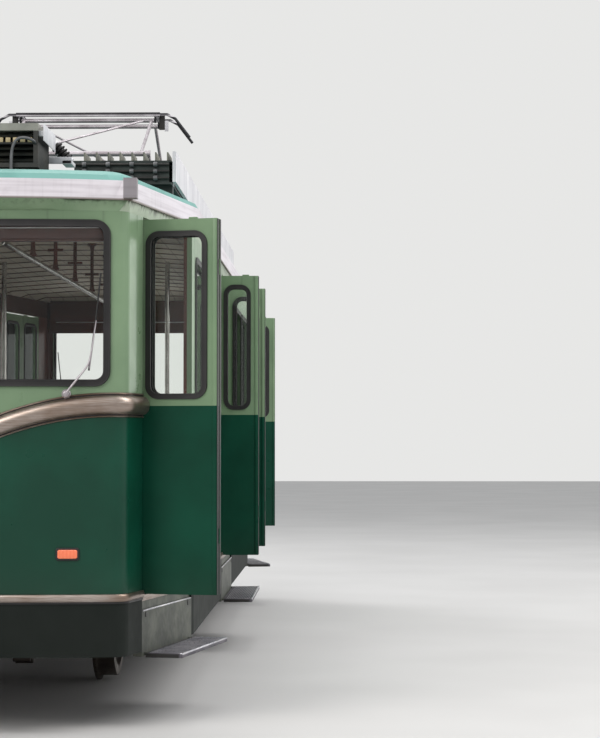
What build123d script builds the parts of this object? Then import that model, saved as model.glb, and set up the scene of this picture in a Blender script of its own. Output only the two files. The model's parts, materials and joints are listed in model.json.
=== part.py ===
from build123d import *
import os
from math import atan2, cos, degrees, pi, radians, sin

os.makedirs("parts", exist_ok=True)

# Two-axle electric railcar for a metre gauge rack line, in millimetres.
# +Z is up, -Y points down the hill and +X to the side whose doors are open.
# The origin is below the middle of the car, level with the wheel flanges' lowest points.

# Body shell
end_y = 4550
taper_y = 3300
half_width = 1150
corner_x = 890
end_bow = 60
corner_radius = 90
wall = 50
skirt_z = 390
wall_top_z = 2690
eave_z = 2745
eave_height = 101
eave_reach = 25
eave_end_reach = 12
eave_bow = 150
eave_corner = 25
eave_lip = 12
gutter_size = 70
roof_z = eave_z + eave_height
floor_top_z = 685
floor_thick = 40
floor_z = floor_top_z - floor_thick

# Windows
screen_inner_x = 50
screen_outer_x = 802
screen_low_z = 1790
screen_high_z = 2622
window_y = (1430, 2660)
window_length = 1120
window_low_z = 1750
window_high_z = 2560
window_radius = 70
glass = 8
glass_inset = 16

# Doorways and folding doors
end_jamb = 290
end_doorway = 940
middle_doorway = 1280
sill_top_z = floor_top_z - 5
sill_low_z = 605
sill_set_back = 12
leaf_thick = 30
leaf_low_z = 692
leaf_high_z = 2677
leaf_recess = 40
pivot_inset = 22
pivot_radius = 8
leaf_gap = 8
fold_offset = 5
closing_gap = 18
meeting_gap = 20
leaf_window_low_z = 1733
leaf_window_high_z = 2602
leaf_frame = 65
hinge_radius = 4.5
hinge_length = 40
hinge_plate = 25
hinge_z = (960, 2380)
seat_gap = 0.3
hinge_play = 0.5

# Folding steps
riser_low_z = 362
riser_thick = 22
tread_axis_z = 375
tread_axis_out = 12
tread_depth = 195
tread_thick = 22
tread_start = 12
tread_rod = 6
lug_length = 30
lug_inset = 40
tread_side_gap = 15
rib_height = 3
rib_pitch = 39

# Trim on the ends
moulding_corner_z = 1686
moulding_middle_z = 1464
moulding_flat_x = 820
moulding_steps = ((124, 20), (84, 42))    # height, depth
strip_low_z = 666
strip_high_z = 712
strip_thick = 14
indicator_x = 596
indicator_z = 919
headlamp_z = 1290
headlamp_radius = 95
wiper_x = 587
wiper_z = 1742
wiper_hub = 20

# Running gear
gauge_back = 936
wheel_width = 130
flange_width = 30
tread_radius = 340
flange_radius = 368
hub_radius = 105
axle_radius = 65
axle_y = 2200
arch_room = 44
axle_z = flange_radius
pinion_teeth = 15
rack_pitch = 100
pinion_width = 110
tooth_height = 60
frame_x = 695
frame_width = 90
frame_low_z = 500
box_half = 110
box_high = 190
axle_end_x = 640
box_outer_x = 840
headstock_x = 800
headstock_y = 4460
headstock_thick = 60
plate_y = 4800
pin_y = 4745
pin_radius = 20

# Roof equipment
resistor_in_x = 415
resistor_out_x = 1005
resistor_low_z = 3010
resistor_top_z = 3150
resistor_y = 3150
slat_pitch = 350
fin_count = 8
fin_pitch = 70
fin_length = 270
fin_thick = 8
fin_top_z = 3200
cover_x = 1010
cover_thick = 20
cover_low_z = 3024
cover_top_z = 3204
cabinet_x = 345
cabinet_y = (-4000, -3590)
cabinet_base_z = 2996
cabinet_top_z = 3238

# Inside
rail_x = 200
rail_y = 4200
rail_z = 2560
hanger_count = 10
seat_height = 455
seat_thick = 75
seat_depth = 440
back_height = 980
screen_height = 965
desk_x = 820
desk_y = (4240, 4440)
desk_z = (1420, 1480)

# Pantograph
pan_y = 1000
pan_base_y = 150
pan_axis_z = 3255
pan_arm = 950
pan_rest = 24.1
pan_tube = 20
pan_x = 557
pan_upper_x = 505
pan_top_x = 525
pan_play = 0.5
pan_shaft = 28
pan_post_x = 605
pan_post = 30
pan_head_x = 570
pan_horn_x = 805
shed_count = 2

taper = degrees(atan2(half_width - corner_x, end_y - taper_y))
pinion_pitch_radius = pinion_teeth * rack_pitch / (2 * pi)
nodes = {}


def block(x0, x1, y0, y1, z0, z1):
    """A box between two corners."""
    middle = Pos((x0 + x1) / 2, (y0 + y1) / 2, (z0 + z1) / 2)
    return middle * Box(abs(x1 - x0), abs(y1 - y0), abs(z1 - z0))


def rod(start, end, radius):
    """A round bar between two points."""
    line = Vector(*end) - Vector(*start)
    base = Plane(origin=start, z_dir=line)
    return extrude(base * Circle(radius), line.length)


def bar_x(x0, x1, y, z, radius):
    return rod((x0, y, z), (x1, y, z), radius)


def both_ends(shape):
    """The valley end's piece and its twin, turned half round, at the hill end."""
    return [shape, Rot(0, 0, 180) * shape]


def both_sides(shape):
    return [shape, mirror(shape, Plane.YZ)]


def four_corners(shape):
    right = [shape, mirror(shape, Plane.XZ)]
    return right + [mirror(one, Plane.YZ) for one in right]


def fuse(pieces):
    whole = pieces[0]
    for piece in pieces[1:]:
        whole = whole + piece
    return whole


def outline(side_out, end_out):
    """Right half of the tapered outline from above, sides and ends moved outwards: end, then kink."""
    a = radians(taper)
    y_end = end_y + end_out
    x_end = corner_x + side_out / cos(a) - end_out * sin(a) / cos(a)
    x_side = half_width + side_out
    y_side = (corner_x * cos(a) + end_y * sin(a) + side_out - x_side * cos(a)) / sin(a)
    return (x_end, y_end), (x_side, y_side)


def straight_corners(side_out, end_out, z):
    """The eight corners of the outline with straight ends, at one height."""
    (x_end, y_end), (x_side, y_side) = outline(side_out, end_out)
    right = [(x_end, -y_end), (x_side, -y_side), (x_side, y_side), (x_end, y_end)]
    return [Vector(x, y, z) for x, y in right] + [Vector(-x, -y, z) for x, y in right]


def bowed_plan(side_out, end_out, bow, radius):
    """The outline with bowed ends and rounded corners."""
    (x_end, y_end), (x_side, y_side) = outline(side_out, end_out)
    right = Polyline((x_end, -y_end), (x_side, -y_side), (x_side, y_side), (x_end, y_end))
    hill = ThreePointArc((x_end, y_end), (0, y_end + bow), (-x_end, y_end))
    left = Polyline((-x_end, y_end), (-x_side, y_side), (-x_side, -y_side), (-x_end, -y_end))
    valley = ThreePointArc((-x_end, -y_end), (0, -y_end - bow), (x_end, -y_end))
    face = make_face([right, hill, left, valley])
    corners = [v for v in face.vertices() if abs(abs(v.Y) - y_end) < 1]
    return fillet(corners, radius)


def plan(out=0.0):
    """The body's outline from above, moved outwards by out."""
    return bowed_plan(out, out, end_bow, max(corner_radius + out, 40))


def eave_plan(inwards, radius=eave_corner):
    """The eave's outline: its ends bow further than the body's, so it overhangs least at the corners."""
    return bowed_plan(eave_reach - inwards, eave_end_reach - inwards, eave_bow - inwards / 4, radius)


def prism(out, z0, z1):
    return Pos(0, 0, z0) * extrude(plan(out), z1 - z0)


def ring(outer, inner, z0, z1):
    return prism(outer, z0, z1) - prism(inner, z0 - 1, z1 + 1)


def side_hole(y, length, z0, z1, radius, x0, x1):
    """A window-shaped block that runs along X."""
    shape = RectangleRounded(length, z1 - z0, radius)
    base = Plane(origin=(x0, y, (z0 + z1) / 2), x_dir=(0, 1, 0), z_dir=(1, 0, 0))
    return extrude(base * shape, x1 - x0)


def end_hole(x0, x1, z0, z1, radius, y0, y1):
    """A window-shaped block that runs along Y."""
    shape = RectangleRounded(x1 - x0, z1 - z0, radius)
    base = Plane(origin=((x0 + x1) / 2, y1, (z0 + z1) / 2), x_dir=(1, 0, 0), z_dir=(0, -1, 0))
    return extrude(base * shape, y1 - y0)


# Doorways. In each one u runs along the wall from one jamb, v points outwards.
a = radians(taper)
start = end_jamb + end_doorway
valley_right = Plane(origin=(corner_x + start * sin(a), -end_y + start * cos(a), 0),
                     x_dir=(-sin(a), -cos(a), 0), z_dir=(0, 0, 1)).location
hill_right = Plane(origin=(corner_x + end_jamb * sin(a), end_y - end_jamb * cos(a), 0),
                   x_dir=(sin(a), -cos(a), 0), z_dir=(0, 0, 1)).location
middle_right = Plane(origin=(half_width, middle_doorway / 2, 0),
                     x_dir=(0, -1, 0), z_dir=(0, 0, 1)).location
half_turn = Location((0, 0, 0), (0, 0, 180))

# name, frame, length, hinged at the far jamb, open at rest
doorways = (
    ("valley_right", valley_right, end_doorway, (True,), True),
    ("middle_right", middle_right, middle_doorway, (False, True), True),
    ("hill_right", hill_right, end_doorway, (False,), True),
    ("hill_left", half_turn * valley_right, end_doorway, (True,), False),
    ("middle_left", half_turn * middle_right, middle_doorway, (False, True), False),
    ("valley_left", half_turn * hill_right, end_doorway, (False,), False),
)


def leaf_width(length, pairs):
    if len(pairs) == 1:
        return (length - pivot_inset - leaf_gap - closing_gap) / 2
    return (length / 2 - pivot_inset - leaf_gap - meeting_gap / 2) / 2


def doorway_cut(frame, length, z0, z1, reach=20):
    return frame * block(0, length, -wall - 20, reach, z0, z1)


# Walls: one ring of body side, cut by the six doorways into two ends and four sides
shell = ring(0, -wall, skirt_z, wall_top_z)
for name, frame, length, pairs, is_open in doorways:
    shell = shell - doorway_cut(frame, length, skirt_z - 1, wall_top_z + 1)

side_holes = [side_hole(s * y, window_length, window_low_z, window_high_z, window_radius,
                        -half_width - 20, half_width + 20) for y in window_y for s in (1, -1)]
screen_hole = end_hole(screen_inner_x, screen_outer_x, screen_low_z, screen_high_z,
                       window_radius, -end_y - 100, -end_y + 100)
screen_holes = [h for pair in both_sides(screen_hole) for h in both_ends(pair)]
coupler_hole = end_hole(-150, 150, 470, 630, 30, -end_y - 100, -end_y + 100)
for hole in side_holes + screen_holes + both_ends(coupler_hole):
    shell = shell - hole

walls = shell.solids()
nodes["end_wall_valley"] = [s for s in walls if s.center().Y < -taper_y]
nodes["end_wall_hill"] = [s for s in walls if s.center().Y > taper_y]
nodes["side_walls_right"] = [s for s in walls if abs(s.center().Y) < taper_y and s.center().X > 0]
nodes["side_walls_left"] = [s for s in walls if abs(s.center().Y) < taper_y and s.center().X < 0]

# Glass panes lie in the window cuts and follow the body's plan
pane = ring(-glass_inset, -glass_inset - glass, window_low_z - 50, screen_high_z + 50)
nodes["side_windows"] = [s for hole in side_holes for s in (pane & hole).solids()]
nodes["windscreens"] = [s for hole in screen_holes for s in (pane & hole).solids()]

# The rail above walls and doors flares out to the eave and carries the roof
flare = loft([Pos(0, 0, wall_top_z) * plan(0), Pos(0, 0, eave_z) * eave_plan(eave_lip)], ruled=True)
cant_rail = flare + prism(0, eave_z, roof_z) - prism(-wall, wall_top_z - 1, roof_z + 1)
nodes["cant_rail"] = [cant_rail]
(gutter_x, gutter_y), eave_kink = outline(eave_reach, eave_end_reach)
gutter_low_z = eave_z + 8
gutter_top_z = roof_z + 12


def gutter_blocks(play):
    """Blocks that cap the eave's four corners, or with a play, the room that the roof leaves them."""
    half = gutter_size / 2 + play
    return four_corners(block(gutter_x - half, gutter_x + half, -gutter_y - half, -gutter_y + half,
                              gutter_low_z, gutter_top_z + play))


eave = Pos(0, 0, eave_z) * extrude(eave_plan(0), eave_height) - prism(0, eave_z - 1, roof_z + 1)
for piece in gutter_blocks(0):
    eave = eave + (piece - prism(0, eave_z - 20, roof_z + 20))
nodes["eave_band"] = [eave]

# Roof shell: a rounded edge, (inwards from the eave, height above it, corner radius),
# then a crown of flat panels, and flat panels for the ceiling, (inwards, height)
roof_edge = ((5, 0, 25), (21, 30, 60), (105, 62, 130))
roof_crown = ((125, 61), (495, 104), (955, 118))
ceiling_rows = ((60, -1), (150, 32), (900, 80))


def flat_dome(rows):
    """A dome of flat panels between straight outlines that draw in as they rise."""
    levels = [straight_corners(eave_reach - inwards, -inwards, roof_z + rise) for inwards, rise in rows]
    panels = [levels[0], levels[-1]]
    for lower, upper in zip(levels, levels[1:]):
        for i in range(len(lower)):
            panels.append([lower[i - 1], lower[i], upper[i], upper[i - 1]])
    return Solid(Shell([Face(Wire.make_polygon(corners)) for corners in panels]))


roof_edge_solid = loft([Pos(0, 0, roof_z + rise) * eave_plan(inwards, radius)
                        for inwards, rise, radius in roof_edge], ruled=True)
roof_solid = roof_edge_solid + flat_dome(roof_crown)
ceiling_space = flat_dome(ceiling_rows)
nodes["roof"] = [roof_solid - ceiling_space - fuse(gutter_blocks(seat_gap))]

# Floor with boxes over the wheels
floor = prism(-wall, floor_z, floor_top_z)
arch_top = 2 * flange_radius + arch_room
arch_outer = block(430, 620, -axle_y - 420, -axle_y + 420, floor_z, arch_top)
arch_inner = block(442, 608, -axle_y - 408, -axle_y + 408, floor_z - 1, arch_top - 12)
for piece in four_corners(arch_outer):
    floor = floor + piece
for piece in four_corners(arch_inner):
    floor = floor - piece
nodes["floor"] = [floor]

# Underframe: two long channels, headstocks and cross members
channel_y = headstock_y - headstock_thick
channel = block(frame_x - frame_width / 2, frame_x + frame_width / 2, -channel_y, channel_y,
                frame_low_z, floor_z)
channel = channel - block(frame_x - 25, frame_x + frame_width, -channel_y - 10, channel_y + 10,
                          frame_low_z + 20, floor_z - 20)
headstock = block(-headstock_x, headstock_x, -headstock_y, -channel_y, frame_low_z - 30, floor_z)
cross_y = (-3500, -2900, -700, 700, 2900, 3500)
inner_x = frame_x - frame_width / 2
crosses = [block(-inner_x, inner_x, y - 40, y + 40, frame_low_z + 30, floor_z) for y in cross_y]
guard = block(frame_x - 6, frame_x + 6, -axle_y - 330, -axle_y + 330, 240, frame_low_z)
guard = guard - block(frame_x - 9, frame_x + 9, -axle_y - box_half - 6, -axle_y + box_half + 6,
                      230, axle_z + box_high / 2 + 12)
guard = guard - extrude(Pos(frame_x - 20, -axle_y, 0) * make_face(
    Plane.YZ * Polyline((-150, 230), (-340, 450), (-340, 230), (-150, 230))), 40, dir=(1, 0, 0))
guard = guard - extrude(Pos(frame_x - 20, -axle_y, 0) * make_face(
    Plane.YZ * Polyline((150, 230), (340, 450), (340, 230), (150, 230))), 40, dir=(1, 0, 0))
nodes["underframe"] = [fuse(both_sides(channel) + both_ends(headstock) + crosses + four_corners(guard))]

# Wheelsets: both wheels pressed on one axle, with the rack pinion between them
rim_depth = 62
web = (25, 75)
wheel_rows = ((0, 0), (0, flange_radius), (flange_width - 8, flange_radius), (flange_width, tread_radius),
              (wheel_width, tread_radius), (wheel_width, tread_radius - rim_depth),
              (web[1], tread_radius - rim_depth), (web[1], hub_radius), (wheel_width, hub_radius),
              (wheel_width, 0))
wheel_dish = ((-1, hub_radius + 20), (web[0], hub_radius + 20), (web[0], tread_radius - rim_depth),
              (-1, tread_radius - rim_depth))


def turned_x(rows, x):
    """A turned piece on the wheel axis, from rows of (along X, radius)."""
    profile = make_face(Polyline(*[(x + along, radius) for along, radius in rows], close=True))
    return revolve(profile, Axis.X)


wheel = turned_x(wheel_rows, gauge_back / 2) - turned_x(wheel_dish, gauge_back / 2)
axle = bar_x(-axle_end_x + seat_gap, axle_end_x - seat_gap, 0, 0, axle_radius)
wheelset = fuse([axle, wheel, mirror(wheel, Plane.YZ)])

# Rack pinion with straight-flanked teeth
step = 360 / pinion_teeth
root = pinion_pitch_radius - tooth_height / 2
tip = pinion_pitch_radius + tooth_height / 2
tooth = make_face(Polyline((root - 6, -30), (pinion_pitch_radius, -24), (tip, -12),
                           (tip, 12), (pinion_pitch_radius, 24), (root - 6, 30), close=True))
gear = Circle(root) - Circle(axle_radius)
for i in range(pinion_teeth):
    gear = gear + Rot(0, 0, i * step) * tooth
pinion = extrude(gear, pinion_width)
pinion = Rot(0, 90, 0) * Pos(0, 0, -pinion_width / 2) * pinion
for end, y in (("valley", -axle_y), ("hill", axle_y)):
    nodes["wheelset_" + end] = [Pos(0, y, axle_z) * wheelset]
    nodes["rack_pinion_" + end] = [Pos(0, y, axle_z) * pinion]

# Axle boxes, leaf springs, motors and air tanks
axle_box = block(axle_end_x, box_outer_x, -axle_y - box_half, -axle_y + box_half,
                 axle_z - box_high / 2, axle_z + box_high / 2)
axle_box = fillet(axle_box.edges().filter_by(Axis.X), 25)
for side in (-1, 1):
    y = -axle_y + side * box_half
    axle_box = axle_box - block(frame_x - 8, frame_x + 8, y - 8, y + 8, 0, 600)
nodes["axle_boxes"] = four_corners(axle_box)

spring_x = 795
spring_low = axle_z + box_high / 2
leaves = []
for i, half in enumerate((150, 220, 290, 360, 430)):
    z = spring_low + 14 * i
    rise = 70 * (half / 430) ** 2
    line = ThreePointArc((-half, z + rise), (0, z), (half, z + rise))
    top = ThreePointArc((half, z + rise + 14), (0, z + 14), (-half, z + rise + 14))
    ends = [Line((half, z + rise), (half, z + rise + 14)), Line((-half, z + rise + 14), (-half, z + rise))]
    section = make_face([line, ends[0], top, ends[1]])
    leaves.append(extrude(Plane.YZ * section, 35, both=True))
hanger_in = frame_x + frame_width / 2 - spring_x
hangers = [block(hanger_in, 35, s * 430 - 25, s * 430 + 25, frame_low_z, spring_low + 160) for s in (-1, 1)]
spring = Pos(spring_x, -axle_y, 0) * fuse(leaves + hangers)
nodes["leaf_springs"] = four_corners(spring)

motor = block(-230, 230, -axle_y + 360, -axle_y + 1040, 215, frame_low_z + 30)
motor = fillet(motor.edges().filter_by(Axis.Y), 90)
motor = motor + block(-60, 60, -axle_y + 400, -axle_y + 460, 400, floor_z)
motor = motor + block(-60, 60, -axle_y + 940, -axle_y + 1000, 400, floor_z)
nodes["traction_motors"] = both_ends(motor)
tank = rod((0, -600, 420), (0, 600, 420), 140)
tank = tank + block(-30, 30, -460, -400, 540, floor_z) + block(-30, 30, 400, 460, 540, floor_z)
nodes["air_tanks"] = [Pos(s * 380, 0, 0) * tank for s in (-1, 1)]

# Coupler and buffer plate
coupler = block(-45, 45, -plate_y, -headstock_y, 515, 585) - rod((0, -pin_y, 500), (0, -pin_y, 600), pin_radius)
coupler = coupler + block(-140, 140, -plate_y - 50, -plate_y, 480, 620)
coupler = coupler + block(-95, 95, -headstock_y - 20, -headstock_y, 490, 610)
nodes["couplers"] = both_ends(coupler)

# Mouldings sweep down to the middle of each end and wrap the corners
moulding_quarter_z = moulding_corner_z - (moulding_corner_z - moulding_middle_z) / 4


def moulding_band(height, thick):
    edges = []
    for side in (-1, 1):
        for z in (-height / 2, height / 2):
            flat = (side * moulding_flat_x, moulding_corner_z + z)
            edges.append(ThreePointArc((0, moulding_middle_z + z),
                                       (side * moulding_flat_x / 2, moulding_quarter_z + z), flat))
            edges.append(Line(flat, (side * (half_width + 50), moulding_corner_z + z)))
        edges.append(Line(*[(side * (half_width + 50), moulding_corner_z + z)
                            for z in (-height / 2, height / 2)]))
    shape = make_face(edges)
    base = Plane(origin=(0, -taper_y, 0), x_dir=(1, 0, 0), z_dir=(0, -1, 0))
    return extrude(base * shape, end_y) & ring(thick, 0, moulding_middle_z - 100, moulding_corner_z + 100)


moulding = fuse([moulding_band(height, thick) for height, thick in moulding_steps])
for name, frame, length, pairs, is_open in doorways:
    moulding = moulding - doorway_cut(frame, length, 1000, 2000, 60)
for side in (-1, 1):
    moulding = moulding - rod((side * wiper_x, -end_y, wiper_z), (side * wiper_x, -end_y - 200, wiper_z),
                              wiper_hub + seat_gap)
moulding = [s for s in moulding.solids() if abs(s.center().X) < 300][0]
nodes["mouldings"] = both_ends(moulding)

# Strip along the foot of the body panels
strip = ring(strip_thick, 0, strip_low_z, strip_high_z)
for name, frame, length, pairs, is_open in doorways:
    strip = strip - doorway_cut(frame, length, strip_low_z - 1, strip_high_z + 1, 60)
nodes["sill_strips"] = strip.solids()

# Lamps: an orange indicator on each side and one headlamp in the middle
skin = prism(0, skirt_z, wall_top_z)
indicator = end_hole(-60, 60, indicator_z - 31, indicator_z + 31, 14, -end_y - 74, -end_y + 20)
headlamp = rod((0, -end_y + 20, headlamp_z), (0, -end_y - end_bow - 70, headlamp_z), headlamp_radius)
lamps = [Pos(s * indicator_x, 0, 0) * indicator - skin for s in (-1, 1)] + [headlamp - skin]
nodes["lamps"] = [one for lamp in lamps for one in both_ends(lamp)]

# Wipers, parked upright beside the outer edge of each screen
blade_x = 770


def wiper(side):
    y = -end_y - end_bow - 8
    spindle = rod((wiper_x, -end_y + 20, wiper_z), (wiper_x, y - 8, wiper_z), wiper_hub) - skin
    arm = rod((wiper_x, y, wiper_z), (blade_x - 10, y, 2150), 7)
    blade = block(blade_x - 14, blade_x - 2, y - 6, y + 10, 1850, 2500)
    shape = spindle + arm + blade
    return shape if side > 0 else mirror(shape, Plane.YZ)


nodes["wipers"] = [one for s in (1, -1) for one in both_ends(wiper(s))]

# Sills and risers under each doorway, folding treads and door leaves
sills = []
for name, frame, length, pairs, is_open in doorways:
    sill = block(0, length, -wall, -sill_set_back, sill_low_z, sill_top_z)
    riser = block(0, length, -riser_thick, 0, riser_low_z, sill_low_z)
    returns = [block(u, u + 12, -wall, -riser_thick, riser_low_z, sill_low_z) for u in (0, length - 12)]
    lugs = [block(u, u + lug_length, 0, tread_axis_out + 6, tread_axis_z - 9, tread_axis_z + 6)
            for u in (lug_inset, length - lug_inset - lug_length)]
    sills.append(frame * fuse([sill, riser] + returns + lugs))

    u0 = lug_inset + lug_length + hinge_play
    axis = Axis((0, tread_axis_out, tread_axis_z), (1, 0, 0))
    edge = tread_axis_out + tread_start
    tread = block(tread_side_gap, length - tread_side_gap, edge, edge + tread_depth,
                  tread_axis_z + 5 - tread_thick, tread_axis_z + 5)
    for i in range(5):
        v = edge + 20 + i * rib_pitch
        tread = tread + block(tread_side_gap + 20, length - tread_side_gap - 20, v, v + 6,
                              tread_axis_z + 5, tread_axis_z + 5 + rib_height)
    tread = tread + rod((u0, tread_axis_out, tread_axis_z), (length - u0, tread_axis_out, tread_axis_z),
                        tread_rod)
    tread = tread + block(u0, length - u0, tread_axis_out, edge + 5, tread_axis_z - 5, tread_axis_z + 4)
    if not is_open:
        tread = tread.rotate(axis, 90)
    nodes["step_" + name] = [frame * tread]

    width = leaf_width(length, pairs)
    for far in pairs:
        turn = -1 if far else 1

        def at(u):
            return length - u if far else u

        low_v = -leaf_recess - leaf_thick / 2
        high_v = -leaf_recess + leaf_thick / 2
        knee_u = pivot_inset + width + leaf_gap / 2
        knee_v = low_v - fold_offset
        first = block(at(pivot_inset), at(pivot_inset + width), low_v, high_v, leaf_low_z, leaf_high_z)
        second = block(at(knee_u + leaf_gap / 2), at(knee_u + leaf_gap / 2 + width), low_v, high_v,
                       leaf_low_z, leaf_high_z)
        cut = Plane(origin=(0, low_v - 5, (leaf_window_low_z + leaf_window_high_z) / 2),
                    x_dir=(1, 0, 0), z_dir=(0, 1, 0))
        pane_shape = RectangleRounded(width - 2 * leaf_frame, leaf_window_high_z - leaf_window_low_z, 60)
        hole = extrude(cut * pane_shape, leaf_thick + 10)
        first = first - Pos(at(pivot_inset + width / 2), 0, 0) * hole
        second = second - Pos(at(knee_u + leaf_gap / 2 + width / 2), 0, 0) * hole
        first = first + rod((at(pivot_inset), -leaf_recess, sill_top_z + seat_gap),
                            (at(pivot_inset), -leaf_recess, wall_top_z - seat_gap), pivot_radius)
        for z in hinge_z:
            upper = z + hinge_length + hinge_play
            first = first + rod((at(knee_u), knee_v, z), (at(knee_u), knee_v, z + hinge_length), hinge_radius)
            first = first + block(at(knee_u - hinge_plate), at(knee_u), knee_v - 2, low_v + 1,
                                  z, z + hinge_length)
            second = second + rod((at(knee_u), knee_v, upper), (at(knee_u), knee_v, upper + hinge_length),
                                  hinge_radius)
            second = second + block(at(knee_u + hinge_plate), at(knee_u), knee_v - 2, low_v + 1,
                                    upper, upper + hinge_length)
        pivot = Axis((at(pivot_inset), -leaf_recess, 0), (0, 0, 1))
        knee = Axis((at(knee_u), knee_v, 0), (0, 0, 1))
        if is_open:
            second = second.rotate(knee, -180 * turn).rotate(pivot, 90 * turn)
            first = first.rotate(pivot, 90 * turn)
        tag = name if len(pairs) == 1 else name + ("_b" if far else "_a")
        nodes["door_" + tag + "_first"] = [frame * first]
        nodes["door_" + tag + "_second"] = [frame * second]
nodes["door_sills"] = sills

# Benches: (where the back stands, the way it faces)
bench_rows = ((-3230, 1), (-1790, -1), (-1750, 1))
bench_in = 260
bench_out = half_width - wall - 3


def bench(y, way):
    top = floor_top_z + seat_height
    seat = block(bench_in, bench_out, y, y + way * seat_depth, top - seat_thick, top)
    back = block(bench_in, bench_out, y, y + way * 38, top, floor_top_z + back_height)
    leg = block(bench_in + 20, bench_in + 60, y + way * 10, y + way * 400, floor_top_z, top - seat_thick)
    return seat + back + leg


benches = [bench(y, way) for y, way in bench_rows]
nodes["benches"] = [one for b in benches for one in four_corners(b)]

# Screens beside the doors, poles, the ceiling rail and the driver's desks
screens = [block(700, bench_out, y, y + 25, floor_top_z, floor_top_z + screen_height)
           for y in (-taper_y + 10, -745)]
nodes["draught_screens"] = [one for s in screens for one in four_corners(s)]

pole_x = 640
pole_y = 745
room = prism(-wall - 5, floor_top_z, roof_z) + ceiling_space
pole = rod((pole_x, -pole_y, floor_top_z), (pole_x, -pole_y, roof_z + 150), 18)
rail = rod((rail_x, -rail_y, rail_z), (rail_x, rail_y, rail_z), 16)
for i in range(hanger_count):
    y = -rail_y + 60 + i * (2 * rail_y - 120) / (hanger_count - 1)
    rail = rail + rod((rail_x, y, rail_z), (rail_x, y, roof_z + 150), 10)
nodes["grab_rails"] = [one & room for one in four_corners(pole) + [rail]]

desk_near, desk_far = desk_y
desk_low, desk_top = desk_z
desk = block(-desk_x, desk_x, -desk_far, -desk_near, desk_low, desk_top)
for side in (-1, 1):
    desk = desk + block(side * (desk_x - 260), side * (desk_x - 40), -desk_far + 20, -desk_near - 20,
                        floor_top_z, desk_low)
desk = desk + block(-300, 300, -desk_far + 20, -desk_far + 140, desk_top, desk_top + 120)
desk = desk + rod((-400, -desk_near - 90, desk_top), (-400, -desk_near - 90, desk_top + 80), 60)
nodes["driver_desks"] = both_ends(desk)

# Resistor trays on the roof, with slats, cross bearers and outer covers
tray = block(resistor_in_x, resistor_out_x, -resistor_y, resistor_y, resistor_low_z, resistor_low_z + 12)
tray = tray + block(resistor_in_x, resistor_out_x, -resistor_y, resistor_y, resistor_top_z - 8, resistor_top_z)
count = int(2 * resistor_y / slat_pitch)
for i in range(count + 1):
    y = -resistor_y + 10 + i * (2 * resistor_y - 20) / count
    tray = tray + block(resistor_in_x + 15, resistor_out_x - 15, y - 9, y + 9,
                        resistor_low_z, resistor_top_z)
bank_y = (-resistor_y, -2100, -1050, 0, 1500, 2550)
for y in bank_y:
    for i in range(fin_count):
        x = resistor_in_x + 75 + i * fin_pitch
        tray = tray + block(x - fin_thick / 2, x + fin_thick / 2, y + 5, y + fin_length,
                            resistor_top_z - 8, fin_top_z)
bearer_y = (-3050, -1800, -600, 600, 1400, 3050)
for y in bearer_y:
    foot = block(resistor_in_x, resistor_out_x, y - 30, y + 30, roof_z + 60, resistor_low_z) - roof_solid
    tray = tray + foot
nodes["resistors"] = both_sides(tray)

cover = block(cover_x, cover_x + cover_thick, -resistor_y, resistor_y, cover_low_z, cover_top_z)
for y in bearer_y:
    cover = cover + block(resistor_out_x, cover_x + 1, y - 20, y + 20, resistor_low_z, resistor_top_z)
nodes["roof_covers"] = both_sides(cover)

# Louvred cabinet on the roof, at the valley end
y0, y1 = cabinet_y
cabinet = block(-cabinet_x, cabinet_x, y0, y1, cabinet_base_z, cabinet_top_z)
cabinet = cabinet - block(-cabinet_x + 25, cabinet_x - 25, y0 - 1, y1 - 20,
                          cabinet_base_z + 25, cabinet_top_z - 40)
for i in range(5):
    z = cabinet_base_z + 50 + i * 34
    slat = Pos(0, y0 + 40, z) * Rot(35, 0, 0) * Box(2 * cabinet_x - 40, 60, 5)
    cabinet = cabinet + slat
cabinet = cabinet + (block(-cabinet_x, cabinet_x, y0 + 60, y1, roof_z + 80, cabinet_base_z) - roof_solid)
nodes["roof_cabinet"] = [cabinet]

# Pantograph: base on insulators, two lower frames, two upper frames and the head
insulator_x = 330
frame_z0 = 3150


def insulator(x, y):
    shape = rod((x, y, roof_z + 80), (x, y, frame_z0), 26) - roof_solid
    for i in range(shed_count):
        z = 3015 + i * 60
        shape = shape + rod((x, y, z), (x, y, z + 22), 44)
    return shape


base = [insulator(x, pan_y + y) for x in (-insulator_x, insulator_x) for y in (-400, 400)]
base += [block(x - 25, x + 25, pan_y - 440, pan_y + 440, frame_z0, frame_z0 + 50)
         for x in (-insulator_x, insulator_x)]
for y in (-pan_base_y, pan_base_y):
    end_x = pan_post_x + pan_post
    base.append(block(-end_x, end_x, pan_y + y - 25, pan_y + y + 25, frame_z0 + 10, frame_z0 + 55))
    for x in (-end_x, pan_post_x):
        base.append(block(x, x + pan_post, pan_y + y - 25, pan_y + y + 25, frame_z0 + 55, pan_axis_z + 35))
nodes["pantograph_base"] = [fuse(base)]

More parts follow.
